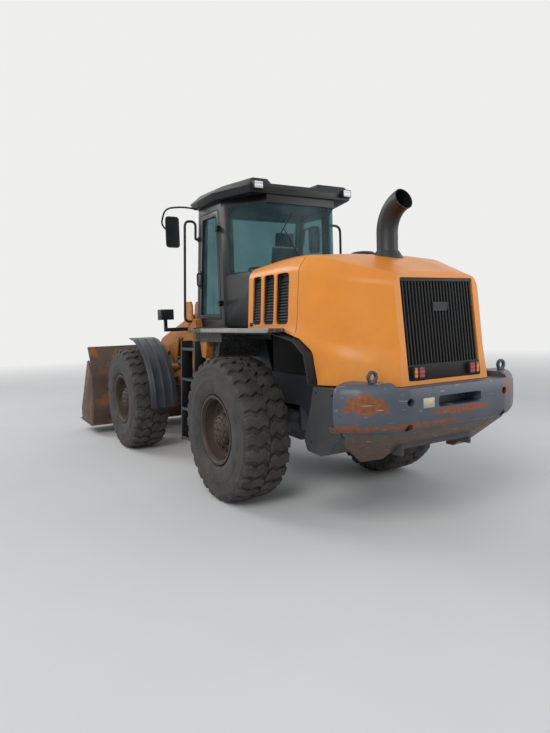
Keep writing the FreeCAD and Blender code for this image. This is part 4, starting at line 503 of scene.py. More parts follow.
# Name and place of each lamp, the height on the machine that it aims at, its size and its power
LAMPS = (("key_light", (-9.0, 9.0, 9.5), 1.4, 6.0, 820.0), ("fill_light", (-8.0, -8.0, 5.0), 1.4, 7.0, 300.0),
         ("rim_light", (8.0, 6.0, 8.0), 1.6, 5.0, 360.0))
for name, place, aim, size, power in LAMPS:
    lamp = bpy.data.objects.new(name, bpy.data.lights.new(name, "AREA"))
    lamp.data.size, lamp.data.energy = size, power
    lamp.location = place
    lamp.rotation_euler = (Vector((0.0, 0.0, aim)) - Vector(place)).to_track_quat("-Z", "Y").to_euler()
    bpy.context.scene.collection.objects.link(lamp)

world = bpy.data.worlds.new("studio")
bpy.context.scene.world = world
world.use_nodes = True
sky = world.node_tree
seen = seen_directly(sky)
light = add(sky, "Background", {"Color": "E6EBF2", "Strength": 0.5})
backdrop = add(sky, "Background", BACKDROP)
both = add(sky, "MixShader", {0: seen, 1: light, 2: backdrop})
feed(sky, sky.nodes["World Output"], Surface=both)

mesh = bmesh.new()
mesh.faces.new([mesh.verts.new((x, y, 0.0)) for x, y in circle(60.0, 48)])
floor_data = bpy.data.meshes.new("floor")
mesh.to_mesh(floor_data)
mesh.free()
floor_data.materials.append(ground())
floor = bpy.data.objects.new("floor", floor_data)
bpy.context.scene.collection.objects.link(floor)


# Wheels

AXLE_LEVEL = 0.745
HALF_TRACK = 1.0
# Place of each wheel along the machine, and its side
WHEELS = {"front_left": (1.625, 1), "front_right": (1.625, -1),
          "rear_left": (-1.625, 1), "rear_right": (-1.625, -1)}
# Stations of a tread bar from the middle outwards, in millimetres: place across, front edge, back edge, drop
TREAD_BAR = [(3, -36, 64, 9), (8, -42, 64, 0), (60, -82, 30, 0), (122, -46, 66, 0), (182, -76, 32, 0),
             (234, -54, 50, 0), (241, -48, 44, 12)]
# Depth in millimetres at which a bar stands in the tyre
BAR_ROOT = -50
TREAD_ROWS = 28


def tread_bar(mesh, side, angle):
    """One zigzag rubber bar from the middle of the tread to its shoulder, with eased top edges."""
    rings = []
    for across, front, back, drop in TREAD_BAR:
        y = across / 1000
        crown = 0.032 * max(0.0, (y - 0.15) / 0.1) ** 2 + 0.003 * y / 0.24
        ring = []
        for height, along in ((BAR_ROOT, front - 8), (-9, front), (0, front + 7), (0, back - 7), (-9, back),
                              (BAR_ROOT, back + 8)):
            radius = AXLE_LEVEL + (height - (drop if height > BAR_ROOT else 0)) / 1000 - crown
            swing = angle + along / 1000 / AXLE_LEVEL
            ring.append((radius * math.cos(swing), side * y, radius * math.sin(swing)))
        rings.append(ring)
    skin(mesh, rings)


def tyre_mesh():
    """A radial earthmover tyre: bulging sidewalls with moulded rings, and rows of zigzag bars."""
    mesh = bmesh.new()
    half = [(0.196, 0.353), (0.214, 0.372), (0.232, 0.376), (0.236, 0.392), (0.242, 0.398), (0.250, 0.440),
            (0.256, 0.480), (0.2595, 0.520), (0.2595, 0.540), (0.256, 0.546), (0.257, 0.570), (0.254, 0.612),
            (0.249, 0.640), (0.251, 0.646), (0.247, 0.664), (0.232, 0.690), (0.200, 0.704), (0.130, 0.712),
            (0.0, 0.715)]
    section = half + [(-y, r) for y, r in reversed(half[:-1])]
    revolve(mesh, section, (0.0, 0.0, 0.0), "y", 96, (False, False))
    for row in range(TREAD_ROWS):
        for side, shift in ((1, 0.0), (-1, 0.5)):
            tread_bar(mesh, side, 2 * math.pi * (row + shift) / TREAD_ROWS)
    return mesh


def rim_mesh():
    """Steel rim with lock ring, dished disc, planetary hub and its bolts; it faces +Y."""
    mesh = bmesh.new()
    section = [(-0.228, 0.330), (-0.235, 0.345), (-0.233, 0.359), (-0.224, 0.360), (-0.219, 0.352),
               (-0.216, 0.333),
               (-0.150, 0.322), (0.150, 0.322), (0.206, 0.330), (0.214, 0.336), (0.217, 0.352),
               (0.222, 0.359),
               (0.232, 0.360), (0.235, 0.352), (0.233, 0.336), (0.222, 0.326), (0.204, 0.322), (0.200, 0.314),
               (0.120, 0.309), (0.104, 0.300), (0.098, 0.282), (0.096, 0.250), (0.104, 0.214), (0.110, 0.196),
               (0.112, 0.168), (0.150, 0.160), (0.158, 0.152), (0.172, 0.148), (0.178, 0.140), (0.180, 0.112),
               (0.190, 0.104), (0.194, 0.096), (0.195, 0.060), (0.199, 0.054), (0.199, 0.0002)]
    revolve(mesh, section, (0.0, 0.0, 0.0), "y", 64, (False, True))
    back = [(-0.228, 0.330), (-0.160, 0.300), (0.060, 0.296), (0.070, 0.200), (0.050, 0.175), (0.050, 0.05)]
    revolve(mesh, back, (0.0, 0.0, 0.0), "y", 64, (False, False))
    for count, radius, level, big in ((16, 0.222, 0.1035, 0.017), (12, 0.128, 0.179, 0.011),
                                      (6, 0.078, 0.1945, 0.009)):
        for x, z in circle(radius, count):
            bolt(mesh, (x, level, z), (0, 1, 0), big, big * 1.2)
    bolt(mesh, (0.0, 0.199, 0.0), (0, 1, 0), 0.02, 0.012)
    return mesh


for name, build, coat, slot, sharp in (("tyre", tyre_mesh, RUBBER, "tyre_rubber", 40),
                                       ("rim", rim_mesh, RIM, "rim_paint", 32)):
    for corner, (x, side) in WHEELS.items():
        mesh = build()
        turn = Matrix.Rotation(0.0 if side > 0 else math.pi, 4, "Z")
        place = Matrix.Translation((x, side * HALF_TRACK, AXLE_LEVEL))
        bmesh.ops.transform(mesh, matrix=place @ turn, verts=mesh.verts)
        piece(f"{name}_{corner}_detailed", f"wheel_{corner}", coat, mesh, slot, f"{name}_{corner}",
              sharp=sharp)


# Hood and cowl

# Place, half widths at foot, waist, shoulder, brow and crown, then the heights from waist to crown
HOOD = [(-3.780, 0.400, 0.385, 0.385, 0.360, 0.190, 1.560, 2.020, 2.120, 2.150),
        (-3.470, 0.600, 0.545, 0.510, 0.455, 0.228, 1.600, 2.130, 2.205, 2.232),
        (-3.120, 0.850, 0.780, 0.705, 0.600, 0.260, 1.650, 2.200, 2.312, 2.362),
        (-2.690, 0.930, 0.900, 0.855, 0.760, 0.300, 1.700, 2.310, 2.428, 2.450),
        (-1.780, 0.930, 0.900, 0.865, 0.790, 0.300, 1.740, 2.310, 2.385, 2.405)]
HOOD_LOW = 1.296
WALL = 0.014


def hood_sizes(x):
    """The hood's half widths and heights at a place along it, on a smooth line through the table."""
    i = max(k for k in range(len(HOOD) - 1) if HOOD[k][0] <= x or k == 0)
    one, two = HOOD[i], HOOD[i + 1]
    before, after = HOOD[max(i - 1, 0)], HOOD[min(i + 2, len(HOOD) - 1)]
    run = two[0] - one[0]
    t = (x - one[0]) / run
    sizes = []
    for a, b, c, d in zip(before[1:], one[1:], two[1:], after[1:]):
        start = (c - a) / (two[0] - before[0]) * run
        stop = (d - b) / (after[0] - one[0]) * run
        sizes.append(b * (2 * t ** 3 - 3 * t * t + 1) + c * (3 * t * t - 2 * t ** 3)
                     + start * (t ** 3 - 2 * t * t + t) + stop * (t ** 3 - t * t))
    return sizes


def flare(x, z):
    """How far the hood's flank swells out below its crease, over the wheel arch."""
    fade = min(1.0, max(0.0, (x + 3.42) / 0.35)) * min(1.0, max(0.0, (-2.25 - x) / 0.3))
    crease = 1.80 + 0.36 * (x + 2.72) if x < -2.72 else 1.80
    step = min(1.0, max(0.0, (crease - z) / 0.10))
    return 0.028 * fade * step * step * (3 - 2 * step) * min(1.0, max(0.0, (z - HOOD_LOW + 0.1) / 0.3))


def hood_ring(x, inward, drop):
    """One rounded section of the hood, moved in by a wall, with its foot dropped."""
    foot, waist, shoulder, brow, crown, waist_z, shoulder_z, brow_z, crown_z = hood_sizes(x)
    half = [(foot - inward, HOOD_LOW - drop), (waist - inward, waist_z),
            (shoulder - inward, shoulder_z - inward * 0.4),
            (brow - inward * 0.7, brow_z - inward), (crown, crown_z - inward)]
    corners = [(0.0, HOOD_LOW - drop)] + half + [(0.0, crown_z - inward)]
    half = rounded(corners, [0.0, 0.0, 0.42, 0.12, 0.09, 0.3, 0.0], 6)
    # The flank takes 12 steps and the shoulder 8, so that the flare over the arch comes out smooth
    side = []
    for one, two, parts in zip(half[1:], half[2:], [12] + [1] * 6 + [8] + [1] * 99):
        side += [tuple(Vector(one).lerp(Vector(two), k / parts)) for k in range(parts)]
    side = [(y + flare(x, z), z) for y, z in side]
    return side + [(-y, z) for y, z in reversed(side)]


def hood_solid(first, last, count, inward=0.0, drop=0.0, end=-9.0):
    """A closed solid of hood sections; past the end the section stays the same."""
    mesh = bmesh.new()
    places = [first + (last - first) * k / (count - 1) for k in range(count)]
    skin(mesh, [[(x, y, z) for y, z in hood_ring(max(x, end), inward, drop)] for x in places])
    return mesh


def prism(outline, way, near, far):
    """A new mesh that holds one flat plate."""
    mesh = bmesh.new()
    slab(mesh, outline, way, min(near, far), max(near, far))
    return mesh


def carve(solid, cutters):
    """Cuts these solids out of a solid and gives the mesh that is left."""
    loose = []
    for mesh in [solid] + cutters:
        bmesh.ops.recalc_face_normals(mesh, faces=mesh.faces)
        data = bpy.data.meshes.new("blank")
        mesh.to_mesh(data)
        mesh.free()
        loose.append(bpy.data.objects.new("blank", data))
        bpy.context.scene.collection.objects.link(loose[-1])
    for tool in loose[1:]:
        cut = loose[0].modifiers.new("cut", "BOOLEAN")
        cut.operation, cut.object, cut.solver = "DIFFERENCE", tool, "EXACT"
    bpy.context.view_layer.update()
    mesh = bmesh.new()
    mesh.from_mesh(loose[0].evaluated_get(bpy.context.evaluated_depsgraph_get()).to_mesh())
    for obj in loose:
        bpy.data.meshes.remove(obj.data)
    return mesh


ARCH = rounded([(-3.02, 1.20), (-2.996, 1.33), (-2.934, 1.575), (-2.765, 1.69), (-2.39, 1.7803),
                (-1.60, 1.7803),
                (-1.60, 1.20)], [0.0, 0.1, 0.14, 0.2, 0.25, 0.0, 0.0], 6)
VENTS = [(-2.060, -1.890), (-2.310, -2.110), (-2.560, -2.350)]
VENT_LOW, VENT_HIGH, VENT_ROUND = 1.815, 2.285, 0.045
GRILLE_HALF, GRILLE_LOW, GRILLE_HIGH = 0.424, 1.330, 2.172

cutters = [hood_solid(-2.80, -1.814, 8, WALL, 0.03, -2.69), prism(ARCH, "y", -1.3, 1.3),
           prism(oblong(-2.315, -0.275, -2.225, -0.185), "z", 2.3, 2.5)]
for x0, x1 in VENTS:
    opening = oblong(x0, VENT_LOW, x1, VENT_HIGH, VENT_ROUND, 5)
    cutters += [prism(opening, "y", side * 0.70, side * 1.0) for side in (1, -1)]
piece("cowl_pressed", "rear_frame", ORANGE, carve(hood_solid(-2.69, -1.80, 10), cutters), "body_orange",
      "cowl", sharp=32)

tail_cut = [(-3.80, 1.20), (-3.618, 1.20), (-3.497, 2.25), (-3.497, 2.60), (-3.80, 2.60)]
window = oblong(-GRILLE_HALF, GRILLE_LOW, GRILLE_HALF, GRILLE_HIGH, 0.02)
stack_hole = circle(0.1503, 48, (-2.9, 0.0))
cutters = [prism(tail_cut, "y", -1.3, 1.3), hood_solid(-3.47, -2.60, 14, WALL, 0.03),
           prism(ARCH, "y", -1.3, 1.3), prism(window, "x", -3.9, -3.4), prism(stack_hole, "z", 2.3, 2.5)]
piece("hood_pressed", "hood", ORANGE, carve(hood_solid(-3.78, -2.698, 22), cutters), "body_orange",
      "hood_shell", sharp=32)


# Counterweight: a pillow-edged band round the tail over a tapered belly

# Corners of the left half of the band seen from above, and how far each is rounded
TAIL = [(-3.372, 0.930), (-3.378, 1.040), (-3.445, 1.020), (-3.570, 0.920), (-3.700, 0.700), (-3.755, 0.560)]
TAIL_ROUND = [0.0, 0.03, 0.10, 0.20, 0.22, 0.14]
# Share of the inset that each corner takes forward and towards the middle
TAIL_DRAWN = [(0.0, 1.0), (0.0, 1.0), (0.15, 1.0), (0.6, 0.7), (0.85, 0.5), (1.0, 0.3)]
# Heights of the band and how far its face is drawn in at each
BAND = [(0.948, 0.130), (0.950, 0.090), (0.956, 0.056), (0.972, 0.028), (1.000, 0.010), (1.045, 0.002),
        (1.100, 0.0),
        (1.200, 0.0), (1.255, 0.004), (1.292, 0.016), (1.318, 0.036), (1.333, 0.064), (1.340, 0.100)]
# Room inside the counterweight for the tail of the frame, seen from above
TAIL_ROOM = oblong(-3.5003, -0.43, -3.1, 0.43)
# Sections of the belly: height, share of the full width, place of the tail face and how far corners are rounded
BELLY = ((0.975, 1.0, -3.690, 0.10), (0.930, 0.985, -3.665, 0.12), (0.640, 0.66, -3.300, 0.06))


def tail_plan(corners, radii, front):
    """A whole plan from its left half, closed along a line across the machine at the front."""
    corners = [(front, 0.0), (front, corners[0][1])] + corners + [(corners[-1][0], 0.0)]
    half = rounded(corners, [0.0, 0.0] + radii + [0.0], 5)[1:-1]
    return half + [(x, -y) for x, y in reversed(half)]


def tail_band():
    """The counterweight's band with its slot and bolt wells."""
    band = bmesh.new()
    rings = []
    for level, inset in BAND:
        corners = [(x + inset * a, y - inset * b) for (x, y), (a, b) in zip(TAIL, TAIL_DRAWN)]
        rings.append([(x, y, level) for x, y in tail_plan(corners, TAIL_ROUND, -3.30)])
    skin(band, rings)
    step = rounded([(-3.18, 0.835), (-3.51, 0.640), (-3.78, 0.640), (-3.78, -0.640), (-3.51, -0.640),
                    (-3.18, -0.835)], [0.0, 0.12, 0.0, 0.0, 0.12, 0.0], 5)
    slot = oblong(-0.25, 1.125, 0.25, 1.215, 0.03)
    tools = [prism(step, "z", 1.292, 1.4), prism(TAIL_ROOM, "z", 0.6, 1.4), prism(slot, "x", -3.8, -3.585)]
    for side in (1, -1):
        for level in (1.189, 0.985):
            tools.append(prism(circle(0.032, 24, (side * 0.55, level)), "x", -3.8, -3.66))
    return carve(band, tools)


piece("counterweight_cast", "rear_frame", CASTING, tail_band(), "frame_grey", "counterweight", sharp=36)
mesh = bmesh.new()
rings = []
for level, share, tail, radius in BELLY:
    half = [(-3.20, 0.90 * share), (-3.24, 0.985 * share), (max(-3.45, tail + 0.04), 0.95 * share),
            (tail + 0.02, 0.66 * share), (tail, 0.5 * share)]
    rings.append([(x, y, level) for x, y in tail_plan(half, [0.0, 0.05, radius, radius, radius], -3.195)])
skin(mesh, rings)
belly = carve(mesh, [prism(TAIL_ROOM, "z", 0.6, 1.4)])
belly = piece("counterweight_belly", "rear_frame", CASTING, belly, "frame_grey", sharp=30)
ease(belly, 0.012, 3, 30)


# Skirts between the rear wheels and the counterweight

def skirt_face(x):
    """How far out the skirt's face stands, at a place along it."""
    return 0.955 - 0.10 * max(0.0, x + 3.20)


mesh = bmesh.new()
for side in (1, -1):
    outline = rounded([(-3.385, 1.284), (-2.984, 1.284), (-2.925, 1.09), (-2.800, 0.80), (-2.850, 0.705),
                       (-3.12, 0.702),
                       (-3.385, 0.900)], [0.02, 0.02, 0.10, 0.05, 0.06, 0.12, 0.05], 5)
    skin(mesh, [[(x, side * 0.425, z) for x, z in outline],
                [(x, side * skirt_face(x), z) for x, z in outline]])
    for level in (0.80, 1.235):
        for x in (-3.27, -3.02 if level > 1.0 else -2.92):
            bolt(mesh, (x, side * (skirt_face(x) - 0.001), level), (0, side, 0), 0.012, 0.008)
skirts = piece("tail_skirts", "rear_frame", SKIRT, mesh, "frame_grey", "side_boxes", sharp=32)
ease(skirts, 0.014, 3, 50)


# Side vents and lamps

def vent_face(level):
    """Half width of the cowl's side at a height."""
    return 0.900 - (level - 1.72) * (0.900 - 0.845) / 0.52


mesh = bmesh.new()
for x0, x1 in VENTS:
    for side in (1, -1):
        outer = oblong(x0, VENT_LOW, x1, VENT_HIGH, VENT_ROUND, 5)
        inner = oblong(x0 + 0.02, VENT_LOW + 0.02, x1 - 0.02, VENT_HIGH - 0.02, 0.03, 5)
        rings = [[(x, side * (vent_face(z) + depth), z) for x, z in outline]
                 for outline, depth in ((outer, -0.03), (outer, 0.002), (inner, 0.006), (inner, -0.016))]
        skin(mesh, rings)
        for k in range(14):
            level = VENT_LOW + 0.036 + k * 0.0275
            deep = vent_face(level)
            louvre = [(deep + 0.002, level - 0.004), (deep + 0.004, level), (deep - 0.014, level + 0.02),
                      (deep - 0.017, level + 0.017)]
            slab(mesh, [(side * y, z) for y, z in louvre], "x", x0 + 0.018, x1 - 0.018)
piece("cowl_vents_louvred", "rear_frame", PLASTIC, mesh, "black_plastic", "cowl_vents", sharp=35)


def lamp_set(name, body, node, slot, rows):
    """Lamp housings and lenses that face back: each row gives the low and high corner and the lens finish."""
    shells, lenses = bmesh.new(), {}
    for low, high, coat in rows:
        if coat.name not in lenses:
            lenses[coat.name] = (bmesh.new(), coat)
        middle = ((low[1] + high[1]) / 2, (low[2] + high[2]) / 2)
        for mesh, inset, near, far, corner in ((shells, 0.0, high[0], low[0] + 0.006, 0.014),
                                               (lenses[coat.name][0], 0.010, low[0] + 0.008, low[0], 0.010)):
            outline = oblong(low[1] + inset, low[2] + inset, high[1] - inset, high[2] - inset, corner)
            skin(mesh, [[(x, y, z) for y, z in drawn_in(outline, middle, share)]
                        for x, share in ((near, 1.0), (far + 0.003, 1.0), (far, 0.94))])
    piece(f"{name}_housings", body, PLASTIC, shells, slot, node, sharp=30)
    for mesh, coat in lenses.values():
        piece(f"{name}_{coat.name}", body, coat, mesh, slot, sharp=30)


tail_rows, roof_rows = [], []
for side in (1, -1):
    for y0, y1, coat in ((0.262, 0.338, RED), (0.340, 0.388, AMBER)):
        low, high = sorted((side * y0, side * y1))
        tail_rows.append(((-3.628, low, 1.348), (-3.588, high, 1.448), coat))
    low, high = sorted((side * 0.53, side * 0.65))
    roof_rows.append(((-1.582, low, 3.245), (-1.5333, high, 3.335), CLEAR))
lamp_set("tail_lamp", "hood", "tail_lamps", "lamp_cover", tail_rows)
lamp_set("roof_lamp", "rear_frame", "roof_lamps", "lamp_white", roof_rows)


# Cab fittings

mesh = bmesh.new()
for side in (1, -1):
    hoop = bend([(-0.24, side * 0.755, 1.866), (-0.24, side * 0.936, 1.866), (-0.363, side * 0.936, 3.076),
                 (-0.363, side * 0.796, 3.076), (-0.3425, side * 0.796, 2.866),
                 (-0.3425, side * 0.755, 2.866)], 0.07, 6)
    tube(mesh, hoop, 0.0155, 12)
    foot = [(side * y, radius) for y, radius in ((0.0, 0.034), (0.006, 0.034), (0.009, 0.024), (0.009, 0.0))]
    for level, x in ((1.866, -0.24), (2.866, -0.3425)):
        revolve(mesh, foot, (x, side * 0.7555, level), "y", 16)
piece("handrails_bent", "rear_frame", BLACK, mesh, "cab_black", "handrails")

mesh = bmesh.new()
for side in (1, -1):
    arm = bend([(-0.43, side * 0.790, 3.215), (-0.40, side * 0.98, 3.235), (-0.33, side * 1.17, 3.215),
                (-0.245, side * 1.19, 3.05), (-0.225, side * 1.13, 2.985), (-0.222, side * 1.05, 2.985)],
               0.16, 8)
    tube(mesh, arm, 0.0105, 12)
    outline = oblong(side * 0.962, 2.768, side * 1.138, 3.143, 0.045, 6)
    shell = ((-0.250, 0.93), (-0.2515, 0.97), (-0.246, 1.0), (-0.232, 0.99), (-0.218, 0.90), (-0.213, 0.70))
    skin(mesh, [[(x, y, z) for y, z in drawn_in(outline, (side * 1.05, 2.955), share)] for x, share in shell])
    revolve(mesh, [(-0.02, 0.022), (0.02, 0.022), (0.024, 0.018), (0.024, 0.0)], (-0.213, side * 1.05, 2.99),
            "x", 16)
piece("mirrors_moulded", "rear_frame", PLASTIC, mesh, "black_plastic", "mirrors", sharp=38)

mesh = bmesh.new()
way = Matrix.Translation((-0.60, 0.0, 2.46)) @ Matrix.Rotation(math.radians(-22), 4, "Y")
tube(mesh, [(x, y, 0.0) for x, y in circle(0.180, 48)], 0.0145, 12, True)
for k in range(3):
    a = 2 * math.pi * k / 3 + math.pi / 2
    spoke = [(r * math.cos(a), r * math.sin(a), z) for r, z in ((0.04, 0.010), (0.11, 0.004), (0.178, 0.0))]
    tube(mesh, spoke, [0.013, 0.009, 0.008], 10)
revolve(mesh, [(-0.014, 0.04), (0.006, 0.052), (0.016, 0.048), (0.020, 0.03), (0.020, 0.0)], (0.0, 0.0, 0.0),
        "z", 32)
bmesh.ops.transform(mesh, matrix=way, verts=mesh.verts)
piece("steering_wheel_rimmed", "rear_frame", PLASTIC, mesh, "black_plastic", "steering_wheel", sharp=40)


def cushion(name, low, high, lean, panels, *nodes):
    """A crowned pad with rolled edges and sewn channels; it leans back along its height."""
    mesh = bmesh.new()
    count = 28
    centre = [(a + b) / 2 for a, b in zip(low, high)]
    half = [(b - a) / 2 for a, b in zip(low, high)]
    flat = 2 if half[2] < half[0] else 0
    wide = 0 if flat == 2 else 2
    for face in (1, -1):
        grid = []
        for i in range(count + 1):
            row = []
            for j in range(count + 1):
                u, v = i / count * 2 - 1, j / count * 2 - 1
                edge = (1 - abs(u) ** 6) ** 0.5 * (1 - abs(v) ** 6) ** 0.5
                crown = 0.62 + 0.38 * (1 - u * u) * (1 - v * v)
                seam = 1.0
                for position in panels:
                    seam -= 0.16 * math.exp(-((v - position) / 0.035) ** 2)
                for position in (-0.3, 0.3):
                    seam -= 0.10 * math.exp(-((u - position) / 0.03) ** 2) * (abs(v) < 0.62)
                pull = 1.0 - 0.025 * (1 - abs(u * v))
                point = [0.0, 0.0, 0.0]
                point[1] = v * half[1] * pull
                point[wide] = u * half[wide] * pull
                point[flat] = face * half[flat] * edge * crown * seam
                spot = Vector(centre) + Vector(point)
                spot.x -= lean * (spot.z - low[2])
                row.append(mesh.verts.new(spot))
            grid.append(row)
        for i in range(count):
            for j in range(count):
                mesh.faces.new((grid[i][j], grid[i + 1][j], grid[i + 1][j + 1], grid[i][j + 1]))
    bmesh.ops.remove_doubles(mesh, verts=mesh.verts, dist=0.0004)
    pad = piece(name, "rear_frame", CLOTH, mesh, "seat_fabric", *nodes)
    pad.modifiers.new("smooth", "SUBSURF").render_levels = 1


cushion("seat_cushion", (-1.16, -0.238, 2.152), (-0.70, 0.238, 2.262), 0.0, (-0.62, 0.62), "seat")
cushion("seat_back", (-1.165, -0.218, 2.245), (-1.055, 0.218, 2.70), 0.17, (-0.6, 0.6))
cushion("seat_headrest", (-1.150, -0.13, 2.712), (-1.065, 0.13, 2.872), 0.17, ())

# The seat's pedestal: a base, a folded boot, the frame of the cushion, the armrests and their brackets
mesh = bmesh.new()
slab(mesh, oblong(-1.13, -0.15, -0.87, 0.15, 0.03), "z", 1.80, 1.86)
rings = []
for k in range(9):
    inset = 0.03 + 0.014 * (k % 2)
    outline = oblong(-1.13 + inset, -0.15 + inset, -0.87 - inset, 0.15 - inset, 0.03)
    rings.append([(x, y, 1.86 + k * 0.031) for x, y in outline])
skin(mesh, rings)
slab(mesh, oblong(-1.15, -0.17, -0.75, 0.17, 0.03), "z", 2.108, 2.15)
armrest = rounded([(-1.12, 2.36), (-0.80, 2.40), (-0.79, 2.44), (-1.12, 2.43)], 0.016)
bracket = rounded([(-1.14, 2.20), (-1.08, 2.20), (-1.06, 2.42), (-1.13, 2.43)], 0.012)
for side in (1, -1):
    slab(mesh, armrest, "y", side * 0.245, side * 0.30)
    slab(mesh, bracket, "y", side * 0.238, side * 0.252)
piece("seat_pedestal", "rear_frame", PLASTIC, mesh, "black_plastic", sharp=35)

# Wiper on the rear window, and the door's handle and lock plate
mesh = bmesh.new()
wiper = [(-1.508, 0.02, 2.43), (-1.530, 0.02, 2.45), (-1.534, 0.16, 2.70), (-1.522, 0.26, 2.86)]
tube(mesh, wiper, [0.010, 0.008, 0.006, 0.005], 8)
tube(mesh, [(-1.519, 0.14, 3.03), (-1.519, 0.26, 2.86), (-1.519, 0.37, 2.70)], 0.007, 6)
revolve(mesh, [(-0.03, 0.0), (-0.03, 0.014), (-0.026, 0.02), (0.008, 0.022)], (-1.508, 0.02, 2.43), "x", 16)
piece("rear_wiper", "rear_frame", PLASTIC, mesh, "black_plastic")
mesh = bmesh.new()
handle = bend([(-0.36, 0.758, 2.30), (-0.36, 0.80, 2.30), (-0.36, 0.80, 2.45), (-0.36, 0.758, 2.45)], 0.02, 4)
tube(mesh, handle, 0.009, 10)
slab(mesh, oblong(-0.39, 2.27, -0.33, 2.48, 0.014), "y", 0.7575, 0.762)
piece("door_handle", "door_left", PLASTIC, mesh, "black_plastic")


# Precleaner and cowl hardware

mesh = bmesh.new()
bowl = [(0.0, 0.045), (0.05, 0.045), (0.062, 0.06), (0.066, 0.112), (0.070, 0.124), (0.100, 0.130),
        (0.112, 0.130),
        (0.118, 0.122), (0.128, 0.104), (0.135, 0.06), (0.138, 0.0)]
revolve(mesh, bowl, (-2.27, -0.23, 2.401), "z", 40)
for c, s in circle(1.0, 20):
    bolt(mesh, (-2.27 + 0.1285 * c, -0.23 + 0.1285 * s, 2.485), (c, s, 0), 0.006, 0.003)
piece("precleaner_bowl", "rear_frame", PLASTIC, mesh, "black_plastic", "precleaner", sharp=35)

mesh = bmesh.new()
for side in (1, -1):
    slab(mesh, oblong(-1.90, 1.800, -1.845, 1.835, 0.012), "y", side * 0.888, side * 0.904)
piece("cowl_latches", "rear_frame", PLASTIC, mesh, "black_plastic")

# Blank plate on the tail, and a blank shield on the grille, whose face leans
mesh = bmesh.new()
slab(mesh, oblong(0.30, 1.13, 0.42, 1.21, 0.006, 3), "x", -3.757, -3.7545)
piece("tail_plate_blank", "rear_frame", PLATE, mesh, "frame_grey")
mesh = bmesh.new()
level = 1.93
face = -3.600 + (level - GRILLE_LOW) * 0.097 / 0.842
slab(mesh, oblong(-0.085, level - 0.0375, 0.085, level + 0.0375, 0.01), "x", face - 0.010, face + 0.008)
piece("grille_blank_shield", "hood", PLASTIC, mesh, "black_plastic", sharp=35)

# Folded edges of the decks, the deck's tail over the arch, the orange block and bracket beside it
mesh = bmesh.new()
for side in (1, -1):
    edge = oblong(1.100, 1.744, 1.123, 1.786, 0.004, 3)
    slab(mesh, [(side * y, z) for y, z in edge], "x", -2.56, -1.12)
piece("deck_edges", "rear_frame", TRIM, mesh, "frame_grey")
mesh = bmesh.new()
for side in (1, -1):
    slab(mesh, oblong(-2.56, side * 0.935, -2.379, side * 1.10, [0.0, 0.0, 0.0, 0.03]), "z", 1.746, 1.780)
tails = piece("deck_tails", "rear_frame", DECK, mesh, "frame_grey")
ease(tails, 0.003)
mesh = bmesh.new()
knob = rounded([(-0.40, 1.783), (-0.29, 1.783), (-0.27, 1.86), (-0.31, 1.90), (-0.38, 1.88)], 0.015)
slab(mesh, knob, "y", 0.77, 0.86)
hanger = rounded([(-1.10, 1.70), (-0.90, 1.70), (-0.93, 1.56), (-0.955, 1.46), (-1.05, 1.45), (-1.085, 1.56)],
                 0.02)
for side in (1, -1):
    slab(mesh, hanger, "y", side * 0.955, side * 1.045)
fittings = piece("deck_fittings", "rear_frame", ORANGE_FRAME, mesh, "body_orange", sharp=30)
ease(fittings, 0.006)

# Dark seal that shows in the joint between cowl and hood
mesh = bmesh.new()
near, far = hood_ring(-2.6905, 0.005, 0.0), hood_ring(-2.6905, 0.012, 0.0)
rings = [[(x, y, z) for y, z in ring] for x, ring in ((-2.6896, far), (-2.6896, near), (-2.6945, near),
                                                      (-2.6945, far))]
skin(mesh, rings, True, False, False)
foot = [v for v in mesh.verts if v.co.z < 1.60]
bmesh.ops.delete(mesh, geom=foot, context="VERTS")
piece("hood_seal", "rear_frame", RUBBER, mesh, "tyre_rubber")

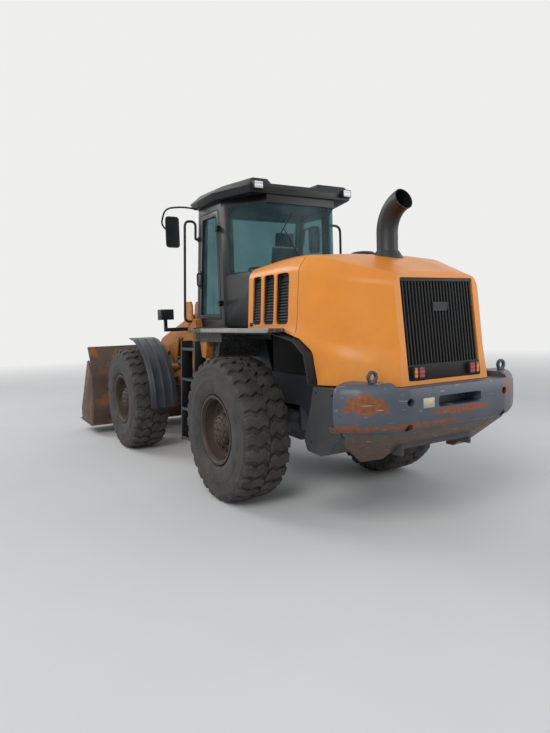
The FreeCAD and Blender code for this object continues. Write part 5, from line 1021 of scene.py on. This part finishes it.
# Grab rail that stands on the right-hand deck
mesh = bmesh.new()
tube(mesh, bend([(-0.955, -0.757, 3.03), (-0.955, -0.955, 3.03), (-0.955, -0.955, 1.783)], 0.09, 8), 0.0155,
     12)
for low, high, way in (((-0.955, -0.955, 1.782), 0.010, "z"), ((-0.955, -0.7575, 3.03), -0.010, "y")):
    revolve(mesh, [(0.0, 0.036), (high * 0.7, 0.036), (high, 0.024), (high, 0.0)], low, way, 18)
piece("deck_rail_right", "rear_frame", BLACK, mesh, "cab_black", sharp=50)


# Nodes that keep their solid's shape: finish by slot, and how far their edges are eased

SLOT_FINISH = {
    "body_orange": ORANGE_FRAME, "frame_grey": GREY, "cab_black": BLACK, "tyre_rubber": RUBBER,
               "rim_paint": RIM,
    "worn_steel": BUCKET, "cylinder_paint": BARREL, "chrome_rod": CHROME, "pin_steel": PIN,
               "window_glass": GLASS,
    "black_plastic": PLASTIC, "lamp_cover": AMBER, "lamp_white": CLEAR, "seat_fabric": CLOTH,
               "exhaust_steel": STACK,
}
NODE_FINISH = {"platforms": DECK, "front_fenders": FENDER, "cab_roof": BLACK, "grille": GRILLE,
               "rear_chassis": GREY,
               "engine_block": BLACK, "ladders": BLACK}
EASED = {"cab_roof": 0.028, "cab_frame": 0.010, "cab_floor": 0.006, "rear_chassis": 0.005,
         "front_chassis": 0.006,
         "boom_arms": 0.010, "bellcrank": 0.010, "tilt_link": 0.010, "bucket_shell": 0.006,
         "cutting_edge": 0.003,
         "rear_fenders": 0.004, "platforms": 0.003, "ladders": 0.004, "front_fenders": 0.006,
         "engine_block": 0.006, "rear_axle": 0.008, "front_axle": 0.008, "rear_housing": 0.006,
         "work_lamps": 0.010,
         "door_frame": 0.005, "grille": 0.0025, "exhaust_stack": 0.0015, "steering_column": 0.008,
         "lifting_eyes": 0.002,
         "hinge_pins": 0.003, "bucket_pins": 0.003, "crank_pin": 0.003, "link_pin": 0.003,
         "lift_barrels": 0.003,
         "tilt_barrel": 0.003, "lift_rods": 0.002, "tilt_rod": 0.002}
for name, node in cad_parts.items():
    if node.hide_render:
        continue
    for slot in node.material_slots:
        label = next((label for label in SLOT_FINISH if slot.material.name.startswith(label)), "frame_grey")
        slot.material = NODE_FINISH.get(name, SLOT_FINISH[label])
    if name in EASED:
        ease(node, EASED[name], 2, 30)
